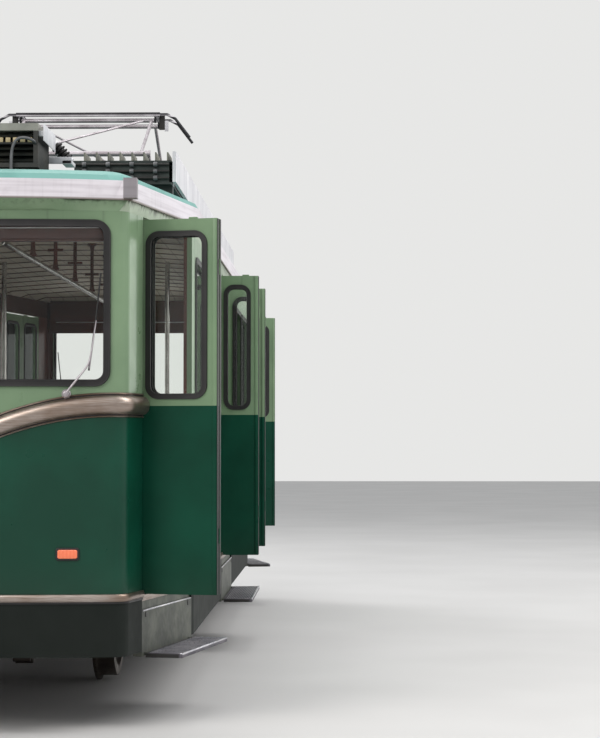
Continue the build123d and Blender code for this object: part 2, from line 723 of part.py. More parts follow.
rest = radians(pan_rest)
knee_y = pan_base_y + pan_arm * cos(rest)
knee_z = pan_axis_z + pan_arm * sin(rest)
head_z = pan_axis_z + 2 * pan_arm * sin(rest)
knee_half = pan_x - pan_tube - pan_play
shaft_half = pan_post_x - seat_gap
lower = [bar_x(-shaft_half, shaft_half, -pan_base_y, pan_axis_z, pan_shaft)]
upper = [bar_x(-knee_half, knee_half, -knee_y, knee_z, pan_tube),
         bar_x(-pan_top_x, pan_top_x, -pan_base_y, head_z, 17)]
upper.append(rod((-pan_upper_x + 60, -knee_y, knee_z), (pan_upper_x - 60, -pan_base_y, head_z), 9))
for s in (-1, 1):
    lower.append(rod((s * pan_x, -pan_base_y, pan_axis_z), (s * pan_x, -knee_y, knee_z), pan_tube))
    lower.append(bar_x(s * (pan_x - pan_tube), s * (pan_x + pan_tube), -knee_y, knee_z, 26))
    upper.append(rod((s * pan_upper_x, -knee_y, knee_z), (s * pan_upper_x, -pan_base_y, head_z), 13))
lower_frame = fuse(lower)
upper_frame = fuse(upper)
nodes["pantograph_lower_valley"] = [Pos(0, pan_y, 0) * lower_frame]
nodes["pantograph_lower_hill"] = [Pos(0, pan_y, 0) * Rot(0, 0, 180) * lower_frame]
nodes["pantograph_upper_valley"] = [Pos(0, pan_y, 0) * upper_frame]
nodes["pantograph_upper_hill"] = [Pos(0, pan_y, 0) * Rot(0, 0, 180) * upper_frame]

head = []
strip_z = head_z + 35
bracket_in = pan_top_x + pan_play
bracket_out = bracket_in + 14
horn_radius = 11
horn_points = ((pan_head_x - 5, strip_z + 14), (pan_head_x + 55, strip_z + 14),
               (pan_head_x + 120, strip_z - 20), (pan_horn_x, strip_z - 170))
for s in (-1, 1):
    y = s * pan_base_y
    head.append(block(-pan_head_x, pan_head_x, y - 20, y + 20, strip_z, strip_z + 28))
    for t in (-1, 1):
        head.append(block(t * bracket_in, t * bracket_out, y - 18, y + 18, head_z - 18, strip_z + 5))
        horn = Polyline(*[(t * x, y, z) for x, z in horn_points])
        base_circle = Plane(origin=horn @ 0, z_dir=horn % 0) * Circle(horn_radius)
        head.append(sweep(base_circle, path=horn, transition=Transition.RIGHT))
for t in (-1, 1):
    head.append(block(t * bracket_in, t * pan_head_x, -pan_base_y, pan_base_y, strip_z, strip_z + 20))
nodes["pantograph_head"] = [Pos(0, pan_y, 0) * fuse(head)]

for name, solids in nodes.items():
    pieces = [one for shape in solids for one in shape.solids()]
    export_step(Compound(pieces) if len(pieces) > 1 else pieces[0], "parts/" + name + ".step")
print(len(nodes), "nodes")
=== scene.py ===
import bmesh
import bpy
import json
from math import atan2, cos, pi, radians, sin, sqrt
from mathutils import Matrix, Vector


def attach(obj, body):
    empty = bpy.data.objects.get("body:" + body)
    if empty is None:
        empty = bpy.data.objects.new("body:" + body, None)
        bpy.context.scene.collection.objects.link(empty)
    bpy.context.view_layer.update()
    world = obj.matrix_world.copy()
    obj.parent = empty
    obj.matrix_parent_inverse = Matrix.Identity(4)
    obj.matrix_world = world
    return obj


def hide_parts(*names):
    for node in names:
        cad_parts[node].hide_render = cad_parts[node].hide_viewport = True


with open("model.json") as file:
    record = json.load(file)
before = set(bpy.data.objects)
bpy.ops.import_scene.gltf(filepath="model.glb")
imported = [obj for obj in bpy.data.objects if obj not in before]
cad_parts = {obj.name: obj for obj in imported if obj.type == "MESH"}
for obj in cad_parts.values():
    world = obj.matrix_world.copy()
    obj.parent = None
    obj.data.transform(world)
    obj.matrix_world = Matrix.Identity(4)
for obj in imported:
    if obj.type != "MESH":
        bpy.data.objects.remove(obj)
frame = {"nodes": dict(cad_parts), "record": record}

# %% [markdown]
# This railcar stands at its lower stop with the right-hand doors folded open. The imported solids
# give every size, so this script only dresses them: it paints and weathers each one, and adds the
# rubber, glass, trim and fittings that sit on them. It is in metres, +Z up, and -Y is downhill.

scene = bpy.context.scene
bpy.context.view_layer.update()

# %% [markdown]
# The body's plan drives most of the trim. Each end is a long shallow arc between two rounded
# corners, and the sides taper towards it. Working the corner out once, as an arc that touches both
# the end and the side, lets gaskets, mouldings and strips follow the body exactly.

# %% The body's plan
end_y = 4.55
taper_y = 3.30
half_width = 1.15
corner_x = 0.89
end_bow = 0.06
corner_radius = 0.09
jamb = 0.29
lean = atan2(half_width - corner_x, end_y - taper_y)
bow_radius = (corner_x ** 2 + end_bow ** 2) / (2 * end_bow)
bow_centre = Vector((0, -end_y - end_bow + bow_radius))
side_along = Vector((sin(lean), cos(lean)))
side_out = Vector((cos(lean), -sin(lean)))
corner = Vector((corner_x, -end_y))
still = Matrix.Identity(4)
half_turn = Matrix.Rotation(pi, 4, "Z")
mirror_x = Matrix.Scale(-1, 4, (1, 0, 0))
mirror_y = Matrix.Scale(-1, 4, (0, 1, 0))
ends = (("valley", still), ("hill", half_turn))


def corner_arc():
    """Centre of the corner's arc, and how far along the side it ends."""
    start = corner - side_out * corner_radius - bow_centre
    b = start.dot(side_along)
    c = start.length_squared - (bow_radius - corner_radius) ** 2
    along = -b - sqrt(b * b - c)
    if along < 0:
        along = -b + sqrt(b * b - c)
    return corner + side_along * along - side_out * corner_radius, along


corner_centre, corner_along = corner_arc()
arc_half = atan2(corner_centre.x, bow_centre.y - corner_centre.y)
end_length = bow_radius * arc_half
turn_length = corner_radius * (pi / 2 - lean - arc_half)
jamb_s = end_length + turn_length + jamb - corner_along
print("corner arc centre", corner_centre, "ends", round(corner_along, 3), "m along the side")


def skin_point(s):
    """Point and outward direction on the valley end's skin, s metres right of the middle."""
    side = 1 if s >= 0 else -1
    s = abs(s)
    if s < end_length:
        angle = s / bow_radius
        out = Vector((sin(angle), -cos(angle)))
        point = bow_centre + bow_radius * out
    elif s < end_length + turn_length:
        angle = arc_half + (s - end_length) / corner_radius
        out = Vector((sin(angle), -cos(angle)))
        point = corner_centre + corner_radius * out
    else:
        out = side_out
        point = corner + side_along * (corner_along + s - end_length - turn_length)
    return Vector((side * point.x, point.y)), Vector((side * out.x, out.y))


def bow(x):
    """How far the end's skin stands out past its corners."""
    return sqrt(bow_radius ** 2 - x * x) - bow_radius + end_bow


# %% [markdown]
# A doorway is easiest to dress in its own frame: u runs along the wall from one jamb and v points
# outwards, just as the carpenter would measure it. Three doorways on the left are the right-hand
# ones turned half round. Open leaves are turned about their pivots, so each leaf keeps the matrix
# that carries the doorway's own measures to the place where the leaf stands.

# %% Doorways and leaves
pivot_inset = 0.022
leaf_recess = 0.040
leaf_thick = 0.030
leaf_gap = 0.008
closing_gap = 0.018
meeting_gap = 0.020
fold_offset = 0.005
leaf_low_z = 0.692
leaf_high_z = 2.677
leaf_window_z = (1.733, 2.602)
leaf_frame = 0.065
end_doorway = 0.94
middle_doorway = 1.28


def doorway_matrix(origin, along):
    u = Vector((along[0], along[1], 0))
    v = Vector((-u.y, u.x, 0))
    if v.x < 0:
        v = -v
    matrix = still.copy()
    for row in range(3):
        matrix[row][0], matrix[row][1] = u[row], v[row]
    matrix[0][3], matrix[1][3] = origin
    return matrix


far_corner = corner + side_along * (jamb + end_doorway)
near_corner = corner + side_along * jamb
valley_right = doorway_matrix(far_corner, -side_along)
hill_right = doorway_matrix((near_corner.x, -near_corner.y), (side_along.x, -side_along.y))
middle_right = doorway_matrix((half_width, middle_doorway / 2), (0, -1))
# Name, matrix, length, which of its pairs fold to the far jamb, whether it stands open
doorways = (
    ("valley_right", valley_right, end_doorway, (True,), True),
    ("middle_right", middle_right, middle_doorway, (False, True), True),
    ("hill_right", hill_right, end_doorway, (False,), True),
    ("hill_left", half_turn @ valley_right, end_doorway, (True,), False),
    ("middle_left", half_turn @ middle_right, middle_doorway, (False, True), False),
    ("valley_left", half_turn @ hill_right, end_doorway, (False,), False),
)


def leaf_width(length, pairs):
    if len(pairs) == 1:
        return (length - pivot_inset - leaf_gap - closing_gap) / 2
    return (length / 2 - pivot_inset - leaf_gap - meeting_gap / 2) / 2


def about(x, y, angle):
    return (Matrix.Translation((x, y, 0)) @ Matrix.Rotation(angle, 4, "Z")
            @ Matrix.Translation((-x, -y, 0)))


# One row for each leaf: body, matrix of its place, u of its two edges, whether it is the first
leaves = []
for name, place, length, pairs, is_open in doorways:
    width = leaf_width(length, pairs)
    knee_v = -leaf_recess - leaf_thick / 2 - fold_offset
    for far in pairs:
        turn = -1 if far else 1

        def at(u):
            return length - u if far else u

        opened = folded = still
        if is_open:
            opened = about(at(pivot_inset), -leaf_recess, turn * pi / 2)
            folded = about(at(pivot_inset + width + leaf_gap / 2), knee_v, -turn * pi)
        tag = name if len(pairs) == 1 else name + ("_b" if far else "_a")
        first = (at(pivot_inset), at(pivot_inset + width))
        second = (at(pivot_inset + width + leaf_gap), at(pivot_inset + 2 * width + leaf_gap))
        leaves.append(("door_" + tag + "_first", place @ opened, first, True))
        leaves.append(("door_" + tag + "_second", place @ opened @ folded, second, False))
print(len(leaves), "door leaves")

# %% [markdown]
# Shader maths reads best as an expression, so one small class stands for a socket. Its operators
# add Math nodes, and its method, node, adds any other node: settings first, then the sockets.

# %% Sockets that can be added and multiplied
def rgb(red, green, blue):
    """A colour as the eye reads it, 0 to 255, turned to the linear numbers of the shader."""
    linear = []
    for value in (red, green, blue):
        v = value / 255
        linear.append(v / 12.92 if v < 0.04045 else ((v + 0.055) / 1.055) ** 2.4)
    return (*linear, 1.0)


class Wire:
    def __init__(self, tree, socket):
        self.tree = tree
        self.socket = socket

    def node(self, kind, settings=(), values=(), out=0):
        made = self.tree.nodes.new("ShaderNode" + kind)
        for key, value in dict(settings).items():
            setattr(made, key, value)
        for key, value in dict(values).items():
            if isinstance(value, Wire):
                self.tree.links.new(value.socket, made.inputs[key])
            else:
                made.inputs[key].default_value = value
        return Wire(self.tree, made.outputs[out])

    def maths(self, operation, *terms, clamp=False):
        return self.node("Math", {"operation": operation, "use_clamp": clamp},
                         dict(enumerate(terms)))

    def __add__(self, other):
        return self.maths("ADD", self, other)

    def __sub__(self, other):
        return self.maths("SUBTRACT", self, other)

    def __rsub__(self, other):
        return self.maths("SUBTRACT", other, self)

    def __mul__(self, other):
        return self.maths("MULTIPLY", self, other)

    def __truediv__(self, other):
        return self.maths("DIVIDE", self, other)

    def __gt__(self, other):
        return self.maths("GREATER_THAN", self, other)

    def __abs__(self):
        return self.maths("ABSOLUTE", self)

    __radd__ = __add__
    __rmul__ = __mul__

    def larger(self, other):
        return self.maths("MAXIMUM", self, other)

    def wave(self):
        return self.maths("SINE", self)

    def clamped(self):
        return self.maths("ADD", self, 0.0, clamp=True)

    def axis(self, letter):
        return self.node("SeparateXYZ", values={"Vector": self}, out="XYZ".index(letter))

    def ramp(self, low, high):
        """0 below low, 1 above high, smooth between."""
        return self.node("MapRange", {"interpolation_type": "SMOOTHSTEP"},
                         {"Value": self, "From Min": low, "From Max": high})

    def noise(self, scale, detail=4.0, stretch=(1, 1, 1)):
        place = self.node("Mapping", values={"Vector": self, "Scale": stretch})
        return self.node("TexNoise", values={"Vector": place, "Scale": scale, "Detail": detail})

    def mix(self, first, second):
        """A colour between two, by this mask."""
        return self.node("Mix", {"data_type": "RGBA"}, {"Factor": self, 6: first, 7: second},
                         out=2)

    def tones(self, low, high, first, second):
        """A drift from one colour to another, both given as the eye reads them."""
        return self.ramp(low, high).mix(rgb(*first), rgb(*second))


def new_finish(name, **values):
    """A material with its shader, and the wire that carries the object's own coordinates."""
    material = bpy.data.materials.new(name)
    material.use_nodes = True
    tree = material.node_tree
    shader = tree.nodes["Principled BSDF"]
    for key, value in values.items():
        socket = key.replace("_", " ").title().replace("Ior", "IOR")
        shader.inputs[socket].default_value = value
    coordinates = tree.nodes.new("ShaderNodeTexCoord")
    return material, shader, Wire(tree, coordinates.outputs["Object"])


def feed(shader, name, wire):
    shader.id_data.links.new(wire.socket, shader.inputs[name])


def surface(shader, colour, rough, height, strength, distance):
    """Feeds a shader its colour and roughness, and a bump made from a height."""
    feed(shader, "Base Color", colour)
    feed(shader, "Roughness", rough)
    feed(shader, "Normal", height.node("Bump", values={"Height": height, "Strength": strength,
                                                       "Distance": distance}))


# %% [markdown]
# Two greens meet along the moulding. On the real car the line between them was masked by hand,
# level along the sides and dipping to the middle of each end, so the mask here is worked out from
# height and distance from the middle. Inside the shell the same wall is varnished board: the mask
# for that is how far a point lies inside the skin. Grime gathers low down and runs from the eave.

# %% Body paint
foot_z = 0.689
moulding_corner_z = 1.686
moulding_middle_z = 1.464
moulding_flat_x = 0.82
skin_depth = -0.03


def outness(x, y):
    """How far a point lies outside the plan of the straight sides and their tapered ends."""
    level = corner_x * cos(lean) + end_y * sin(lean)
    return (abs(x) - half_width).larger(abs(x) * cos(lean) + abs(y) * sin(lean) - level)


def body_paint(name, follows_moulding, lined):
    material, shader, place = new_finish(name, specular_ior_level=0.3 if lined else 0.15)
    x, y, z = (place.axis(letter) for letter in "XYZ")
    divide = moulding_corner_z
    if follows_moulding:
        short = (moulding_flat_x - abs(x)).larger(0.0)
        fall = (moulding_corner_z - moulding_middle_z) / moulding_flat_x ** 2
        divide = moulding_corner_z - short * short * fall
    mottle = place.noise(2.3, 5)
    cloud = place.noise(9, 4)
    light = mottle.tones(0.3, 0.75, (114, 138, 108), (128, 152, 120))
    dark = mottle.tones(0.3, 0.7, (7, 58, 42), (10, 70, 52))
    # Below the foot strip the paint is near-black: partly the skirt's own dark paint, partly
    # painted shade.
    skirt_and_shade = 1 - (z > foot_z)
    colour = skirt_and_shade.mix(((z - divide) > 0.0).mix(dark, light), rgb(8, 17, 13))
    streak = place.noise(3.5, 5, (9, 9, 0.7)).ramp(0.56, 0.8)
    grime = (1 - z.ramp(0.38, 0.95)) * 0.7 + streak * z.ramp(2.2, 2.75) * 0.75
    grime = (grime * (0.55 + cloud)).clamped() * (0.15 + 0.85 * (z > foot_z))
    colour = (grime * 0.55).mix(colour, rgb(48, 50, 42))
    if lined:
        past_end = abs(y) - end_y - end_bow * (1 - x * x / corner_x ** 2)
        inside = 1 - (outness(x, y).larger(past_end) > skin_depth)
        board = place.noise(6, 6, (1, 1, 0.12)).tones(0.35, 0.7, (76, 36, 30), (104, 52, 40))
        colour = inside.mix(colour, board)
    ripple = place.noise(5, 3) * 0.7 + place.noise(420, 2) * 0.006
    surface(shader, colour, 0.22 + 0.18 * cloud + 0.35 * grime + 0.4 * skirt_and_shade, ripple, 0.25, 0.012)
    return material


def header_paint():
    """Pale green rail over the doors, with soot that has dripped from the gutter."""
    material, shader, place = new_finish("Rail over the doors", specular_ior_level=0.3)
    x, y, z = (place.axis(letter) for letter in "XYZ")
    outside = (outness(x, y) > skin_depth).larger(abs(y) > end_y - 0.02)
    flank = 1 - (abs(y) > end_y)
    drip = place.noise(16, 6, (3, 3, 0.12)).ramp(0.5, 0.62) * z.ramp(2.70, 2.745)
    green = place.noise(3, 5).tones(0.3, 0.7, (120, 146, 114), (136, 158, 128))
    chalky = (flank * 0.55).mix(green, rgb(196, 204, 186))
    grimy = (drip * (0.25 + flank * 0.6)).mix(chalky, rgb(40, 40, 32))
    surface(shader, outside.mix(rgb(70, 42, 36), grimy), 0.3 + 0.3 * place.noise(9, 4),
            place.noise(5, 3), 0.2, 0.008)
    return material


end_paint = body_paint("Two greens along the moulding", True, True)
rail_paint = header_paint()
side_paint = body_paint("Two greens, level line", False, True)
door_paint = body_paint("Door leaf greens", False, False)
print("body paints", end_paint.name, side_paint.name, door_paint.name)

# %% [markdown]
# The plainer finishes share one recipe: a colour that drifts between two tones, roughness that
# drifts with it, and a fine bump. The list below says what each is made of, as a paint shop would.

# %% Plain finishes
upright_grain = (1, 1, 0.1)


def plain(name, tone, other, metal=0.0, rough=(0.4, 0.6), scale=8.0, stretch=(1, 1, 1),
          relief=0.002, grain=60.0, **extra):
    material, shader, place = new_finish(name, metallic=metal, **extra)
    drift = place.noise(scale, 6, stretch)
    fine = place.noise(grain, 3, stretch)
    surface(shader, drift.tones(0.32, 0.7, tone, other),
            rough[0] + (rough[1] - rough[0]) * fine, fine, 0.5, relief)
    return material


rubber = plain("Window rubber", (12, 11, 12), (28, 25, 27), rough=(0.35, 0.6), grain=150,
               relief=0.0006)
black_steel = plain("Dusty black steel", (14, 15, 15), (38, 35, 31), rough=(0.5, 0.8), grain=35)
wheel_steel = plain("Wheel steel", (62, 56, 52), (92, 84, 76), 0.8, (0.35, 0.6), grain=40)
cover_paint = plain("Cover paint", (200, 198, 202), (226, 224, 226), rough=(0.45, 0.7), grain=25,
                    stretch=(1, 1, 0.4))
tube_grey = plain("Pantograph tube", (150, 142, 146), (186, 180, 184), 0.6, (0.3, 0.5))
seat_leather = plain("Bench cover", (88, 32, 28), (112, 46, 38), rough=(0.35, 0.55), grain=180,
                     relief=0.0015)
board_varnish = plain("Varnished board", (78, 48, 34), (112, 74, 52), rough=(0.25, 0.4), scale=5,
                      stretch=upright_grain, grain=40, coat_weight=0.4)
desk_paint = plain("Desk paint", (84, 92, 88), (104, 112, 106), rough=(0.35, 0.5), grain=220,
                   relief=0.001)
rail_chrome = plain("Polished rail", (180, 176, 172), (206, 202, 198), 1.0, (0.12, 0.25))
bright_steel = plain("Tread nosing", (176, 176, 184), (214, 212, 216), 1.0, (0.2, 0.4))
tread_grey = plain("Tread plate", (74, 72, 80), (104, 100, 106), 0.6, (0.4, 0.65), grain=40)
sill_grey = plain("Riser paint", (56, 60, 53), (84, 87, 77), 0.2, (0.4, 0.65), grain=30)
ceiling_cream = plain("Ceiling paint", (196, 188, 172), (214, 208, 194), rough=(0.35, 0.5))
lamp_chrome = plain("Lamp chrome", (196, 196, 196), (222, 222, 222), 1.0, (0.08, 0.2))
header_board = plain("Header board", (74, 32, 27), (94, 42, 34), rough=(0.25, 0.4), scale=5,
                     stretch=(0.2, 1, 1), grain=40, coat_weight=0.3)
beige_block = plain("Terminal blocks", (168, 150, 112), (196, 178, 138))
cable_grey = plain("Conduit", (82, 82, 84), (112, 112, 114), 0.3, (0.35, 0.55))
print(len(bpy.data.materials), "finishes so far")

# %% [markdown]
# Four finishes need their own idea. The moulding is old bright metal, brushed along its length,
# with a warm tarnish. The eave band is white paint that has run and gone grey in streaks, with a
# brown line of painted shadow along its foot and its corner gutter blocks in a darker grey of
# painted shade. The roof is a chalky pale green with dust. The floor is ribbed, so its ribs are a
# wave across the aisle. The fittings on the roof change colour at a height, so theirs are level
# bands.

# %% Metal trim, eave, roof and floor
rib_pitch = 0.02
ceiling_joint_pitch = 0.12
eave_block_x = 0.879
eave_block_y = 4.526
eave_foot_z = 2.748
roof_edge_z = 2.895


def trim_metal():
    material, shader, place = new_finish("Aged bright trim", metallic=0.92)
    brush = place.noise(30, 5, (0.4, 0.4, 14))
    tarnish = place.noise(3.2, 5)
    bright = brush.tones(0.3, 0.7, (150, 136, 126), (188, 178, 172))
    surface(shader, tarnish.ramp(0.35, 0.8).mix(bright, rgb(126, 106, 92)),
            0.2 + 0.16 * brush + 0.12 * tarnish, brush, 0.15, 0.0006)
    return material


def eave_paint():
    material, shader, place = new_finish("Eave paint")
    run = place.noise(4, 6, (7, 7, 0.5)).ramp(0.5, 0.8)
    level = place.noise(5, 5, (0.3, 0.3, 9)).ramp(0.4, 0.7)
    cloud = place.noise(11, 5)
    dirt = (run * 0.2 + level * 0.3 + cloud.ramp(0.6, 0.8) * 0.2).clamped()
    white = dirt.mix(rgb(226, 220, 225), rgb(150, 140, 146))
    # The corner gutter blocks are painted a darker grey, a painted shade standing for their dark
    # end faces.
    block = (abs(place.axis("X")) > eave_block_x) * (abs(place.axis("Y")) > eave_block_y)
    with_block_shade = (block * 0.8).mix(white, rgb(100, 94, 98))
    # A brown band along the foot of the eave is a painted shadow line under the gutter.
    low = 1 - place.axis("Z").ramp(eave_foot_z, 2.758)
    surface(shader, (low * 0.8).mix(with_block_shade, rgb(92, 80, 64)), 0.42 + 0.25 * cloud, cloud, 0.3,
            0.003)
    return material


def roof_paint():
    """Dusty green above, and below, where the surface faces down, the ceiling's cream boards."""
    material, shader, place = new_finish("Roof paint")
    cloud = place.noise(3, 6)
    speck = place.noise(60, 4)
    soot = (place.axis("Z").ramp(roof_edge_z, 2.95) * 0.75 + cloud.ramp(0.5, 0.8) * 0.3).clamped()
    outer = soot.mix(cloud.tones(0.3, 0.7, (96, 148, 140), (122, 174, 166)), rgb(66, 78, 74))
    under = 1 - (place.node("NewGeometry", out=1).axis("Z") > -0.35)
    joint = (place.axis("X") * (2 * pi / ceiling_joint_pitch)).wave().ramp(0.94, 1.0)
    boards = cloud.tones(0.3, 0.7, (206, 194, 176), (222, 212, 196))
    surface(shader, under.mix(outer, (joint * 0.5).mix(boards, rgb(120, 100, 84))),
            0.45 + 0.3 * speck, speck, 0.3, 0.002)
    return material


def floor_cover():
    material, shader, place = new_finish("Ribbed floor")
    rib = (place.axis("X") * (2 * pi / rib_pitch)).wave()
    cloud = place.noise(5, 6)
    surface(shader, cloud.tones(0.3, 0.7, (60, 58, 56), (92, 88, 82)), 0.5 + 0.25 * cloud, rib,
            0.6, 0.002)
    return material


def by_height(name, bands, metal=0.0, rough=(0.4, 0.65)):
    """A finish in level bands: (from this height up, tone, other tone)."""
    material, shader, place = new_finish(name, metallic=metal)
    z = place.axis("Z")
    drift = place.noise(9, 5)
    fine = place.noise(70, 3)
    colour = None
    for height, tone, other in bands:
        here = drift.tones(0.32, 0.7, tone, other)
        colour = (z > height).mix(colour, here) if colour else here
    surface(shader, colour, rough[0] + (rough[1] - rough[0]) * fine, fine, 0.5, 0.0015)
    return material


cabinet_paint = by_height("Cabinet paint", ((0, (24, 28, 26), (44, 42, 36)),
                                            (3.197, (126, 126, 118), (150, 149, 140))))
fin_steel = by_height("Resistor fins", ((0, (18, 27, 25), (40, 52, 48)),
                                        (3.151, (84, 86, 78), (138, 136, 122))))
base_finish = by_height("Pantograph base", ((0, (58, 30, 22), (78, 44, 32)),
                                            (3.149, (46, 48, 50), (78, 78, 78))), 0, (0.25, 0.5))
head_finish = by_height("Pantograph head", ((0, (30, 31, 34), (48, 48, 52)),
                                            (4.058, (150, 146, 150), (186, 182, 186)),
                                            (4.076, (26, 26, 30), (50, 48, 52))), 0.3)
trim = trim_metal()
eave_white = eave_paint()
roof_teal = roof_paint()
ribbed_floor = floor_cover()
print(len(bpy.data.materials), "finishes so far")

# %% [markdown]
# Window glass is thin and flat, so it hardly bends light: it lets most straight through and
# mirrors the rest, more at a glancing angle. So it is a mix of a clear shader and a mirror by the
# Fresnel share, with faint smears. Unlike a refracting block, it lets the lamps light the inside.

# %% Glass and lenses
glass_ior = 1.25
flute_pitch = 0.007


def clear(name, tint):
    material, shader, place = new_finish(name, metallic=1.0)
    tree = material.node_tree
    smear = place.noise(7, 4).ramp(0.55, 0.85)
    feed(shader, "Base Color", smear.mix(rgb(236, 240, 240), rgb(210, 214, 212)))
    feed(shader, "Roughness", 0.02 + smear * 0.06)
    through = tree.nodes.new("ShaderNodeBsdfTransparent")
    through.inputs["Color"].default_value = rgb(*tint)
    share = place.node("Fresnel", values={"IOR": glass_ior}) + smear * 0.01
    both = tree.nodes.new("ShaderNodeMixShader")
    tree.links.new(share.socket, both.inputs[0])
    tree.links.new(through.outputs[0], both.inputs[1])
    tree.links.new(shader.outputs[0], both.inputs[2])
    tree.links.new(both.outputs[0], tree.nodes["Material Output"].inputs["Surface"])
    return material


def ribbed_lens():
    """Orange plastic with fine upright flutes."""
    material, shader, place = new_finish("Orange lens", coat_weight=0.6, coat_roughness=0.05)
    flute = (place.axis("X") * (2 * pi / flute_pitch)).wave()
    surface(shader, flute.tones(-1, 1, (250, 112, 70), (255, 140, 98)), 0.2 + 0.1 * flute, flute,
            0.4, 0.0015)
    return material


glass = clear("Window glass", (253, 254, 253))
lamp_glass = clear("Lamp glass", (246, 248, 246))
orange_lens = ribbed_lens()

# %% [markdown]
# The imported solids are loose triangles. Flat ones only need their finish. Round ones would show
# their facets, so they are copied, merged and shaded smooth up to a crease angle, and the copy
# stands for the solid it came from. The helpers that start, round and finish a piece come first.

# %% Helpers for pieces
slot_of = {
    "body_paint": (end_paint, side_paint, rail_paint), "door_paint": (door_paint,),
    "roof_paint": (roof_teal,), "eave_paint": (eave_white,), "cover_paint": (cover_paint,),
    "window_glass": (glass,), "bright_trim": (trim, lamp_chrome),
    "lamp_lens": (orange_lens, lamp_glass), "ceramic": (beige_block,),
    "black_steel": (black_steel, cable_grey, base_finish), "wheel_steel": (wheel_steel,),
    "resistor_steel": (fin_steel, cabinet_paint), "pantograph_tube": (tube_grey, head_finish),
    "floor_cover": (ribbed_floor,), "seat_cover": (seat_leather,), "desk_paint": (desk_paint,),
    "inner_panel": (board_varnish, header_board, ceiling_cream), "rail_steel": (rail_chrome,),
    "tread_steel": (tread_grey, bright_steel), "sill_steel": (sill_grey,),
}
slots = {material.name: slot for slot, materials in slot_of.items() for material in materials}


def new_object(name, data):
    item = bpy.data.objects.new(name, data)
    scene.collection.objects.link(item)
    return item


def new_mesh(name, shape):
    """A mesh made from a bmesh, which ends here."""
    mesh = bpy.data.meshes.new(name)
    shape.to_mesh(mesh)
    shape.free()
    return mesh


def add_piece(name, shape, material, body="root", stands_for=(), crease=35, copied=False):
    """Makes a bmesh into a piece that rides on a body."""
    if not copied:
        bmesh.ops.recalc_face_normals(shape, faces=shape.faces)
    mesh = new_mesh(name, shape)
    mesh.shade_smooth()
    mesh.set_sharp_from_angle(angle=radians(crease))
    mesh.materials.append(material)
    piece = new_object(name, mesh)
    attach(piece, body)
    if copied:
        piece.modifiers.new("even_shading", "WEIGHTED_NORMAL").keep_sharp = True
    material.name in slots
    if stands_for:
        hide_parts(*stands_for)
    return piece


def newer(shape, before):
    """The vertices that a shape has gained."""
    return [v for v in shape.verts if v not in before]


def rounded(shape, geom, offset, segments, affect="EDGES"):
    bmesh.ops.bevel(shape, geom=geom, offset=offset, segments=segments, profile=0.5,
                    affect=affect, material=-1)


def edges_of(verts):
    return list({e for v in verts for e in v.link_edges})


def box_between(shape, low, high, round_by=0.0, place=still):
    """A box from corner to corner, its edges rounded, moved by a matrix."""
    before = set(shape.verts)
    made = bmesh.ops.create_cube(shape, size=1.0)["verts"]
    bmesh.ops.scale(shape, vec=[b - a for a, b in zip(low, high)], verts=made)
    bmesh.ops.translate(shape, vec=[(b + a) / 2 for a, b in zip(low, high)], verts=made)
    if round_by:
        rounded(shape, edges_of(made), round_by, 2)
    bmesh.ops.transform(shape, matrix=place, verts=newer(shape, before))


def boxes(name, rows, material, body="root", place=still, stands_for=()):
    """A piece made of boxes: rows of (low corner, high corner, rounding)."""
    shape = bmesh.new()
    for low, high, round_by in rows:
        box_between(shape, low, high, round_by, place)
    return add_piece(name, shape, material, body, stands_for)


def turned(shape, rows, place, steps=32):
    """A turned piece: rows of (radius, height) spun about Z, then put in place by a matrix."""
    before = set(shape.verts)
    chain = [shape.verts.new((radius, 0, height)) for radius, height in rows]
    edges = [shape.edges.new(pair) for pair in zip(chain, chain[1:])]
    bmesh.ops.spin(shape, geom=chain + edges, cent=(0, 0, 0), axis=(0, 0, 1), angle=2 * pi,
                   steps=steps, use_merge=True)
    bmesh.ops.remove_doubles(shape, verts=newer(shape, before), dist=1e-5)
    bmesh.ops.transform(shape, matrix=place, verts=newer(shape, before))


def spun(name, rows, material, place, steps, stands_for=()):
    """A piece that is one turned form."""
    shape = bmesh.new()
    turned(shape, rows, place, steps)
    return add_piece(name, shape, material, "root", stands_for)


def tube(name, points, radius, material, thin_end=1.0):
    """A round bar that bends smoothly past its points, made solid from a curve."""
    curve = bpy.data.curves.new(name + "_line", "CURVE")
    curve.dimensions = "3D"
    curve.bevel_depth = radius
    curve.bevel_resolution = 3
    curve.use_fill_caps = True
    line = curve.splines.new("NURBS")
    line.points.add(len(points) - 1)
    for i, (knot, place) in enumerate(zip(line.points, points)):
        knot.co = (*place, 1)
        knot.radius = 1 + (thin_end - 1) * i / (len(points) - 1)
    line.order_u = 3
    line.use_endpoint_u = True
    line.resolution_u = 8
    guide = bpy.data.objects.new(name + "_guide", curve)
    mesh = bpy.data.meshes.new_from_object(guide)
    shape = bmesh.new()
    shape.from_mesh(mesh)
    bmesh.ops.remove_doubles(shape, verts=shape.verts, dist=1e-6)
    bpy.data.objects.remove(guide)
    bpy.data.curves.remove(curve)
    bpy.data.meshes.remove(mesh)
    return add_piece(name, shape, material)


# %% Dressing the solids
body_of_node = {node: body for body, members in frame["record"]["behaviour"]["bodies"].items()
                for node in members}


def smooth_copy(node, material):
    shape = bmesh.new()
    shape.from_mesh(frame["nodes"][node].data)
    bmesh.ops.remove_doubles(shape, verts=shape.verts, dist=1e-5)
    piece = add_piece(node + "_skin", shape, material, body_of_node[node], [node], 28, True)
    for edge in piece.data.edges:
        knots = [piece.data.vertices[i].co for i in edge.vertices]
        if body_of_node[node] == "root" and all(abs(abs(v.y) - taper_y) < 0.012 for v in knots):
            edge.use_edge_sharp = True


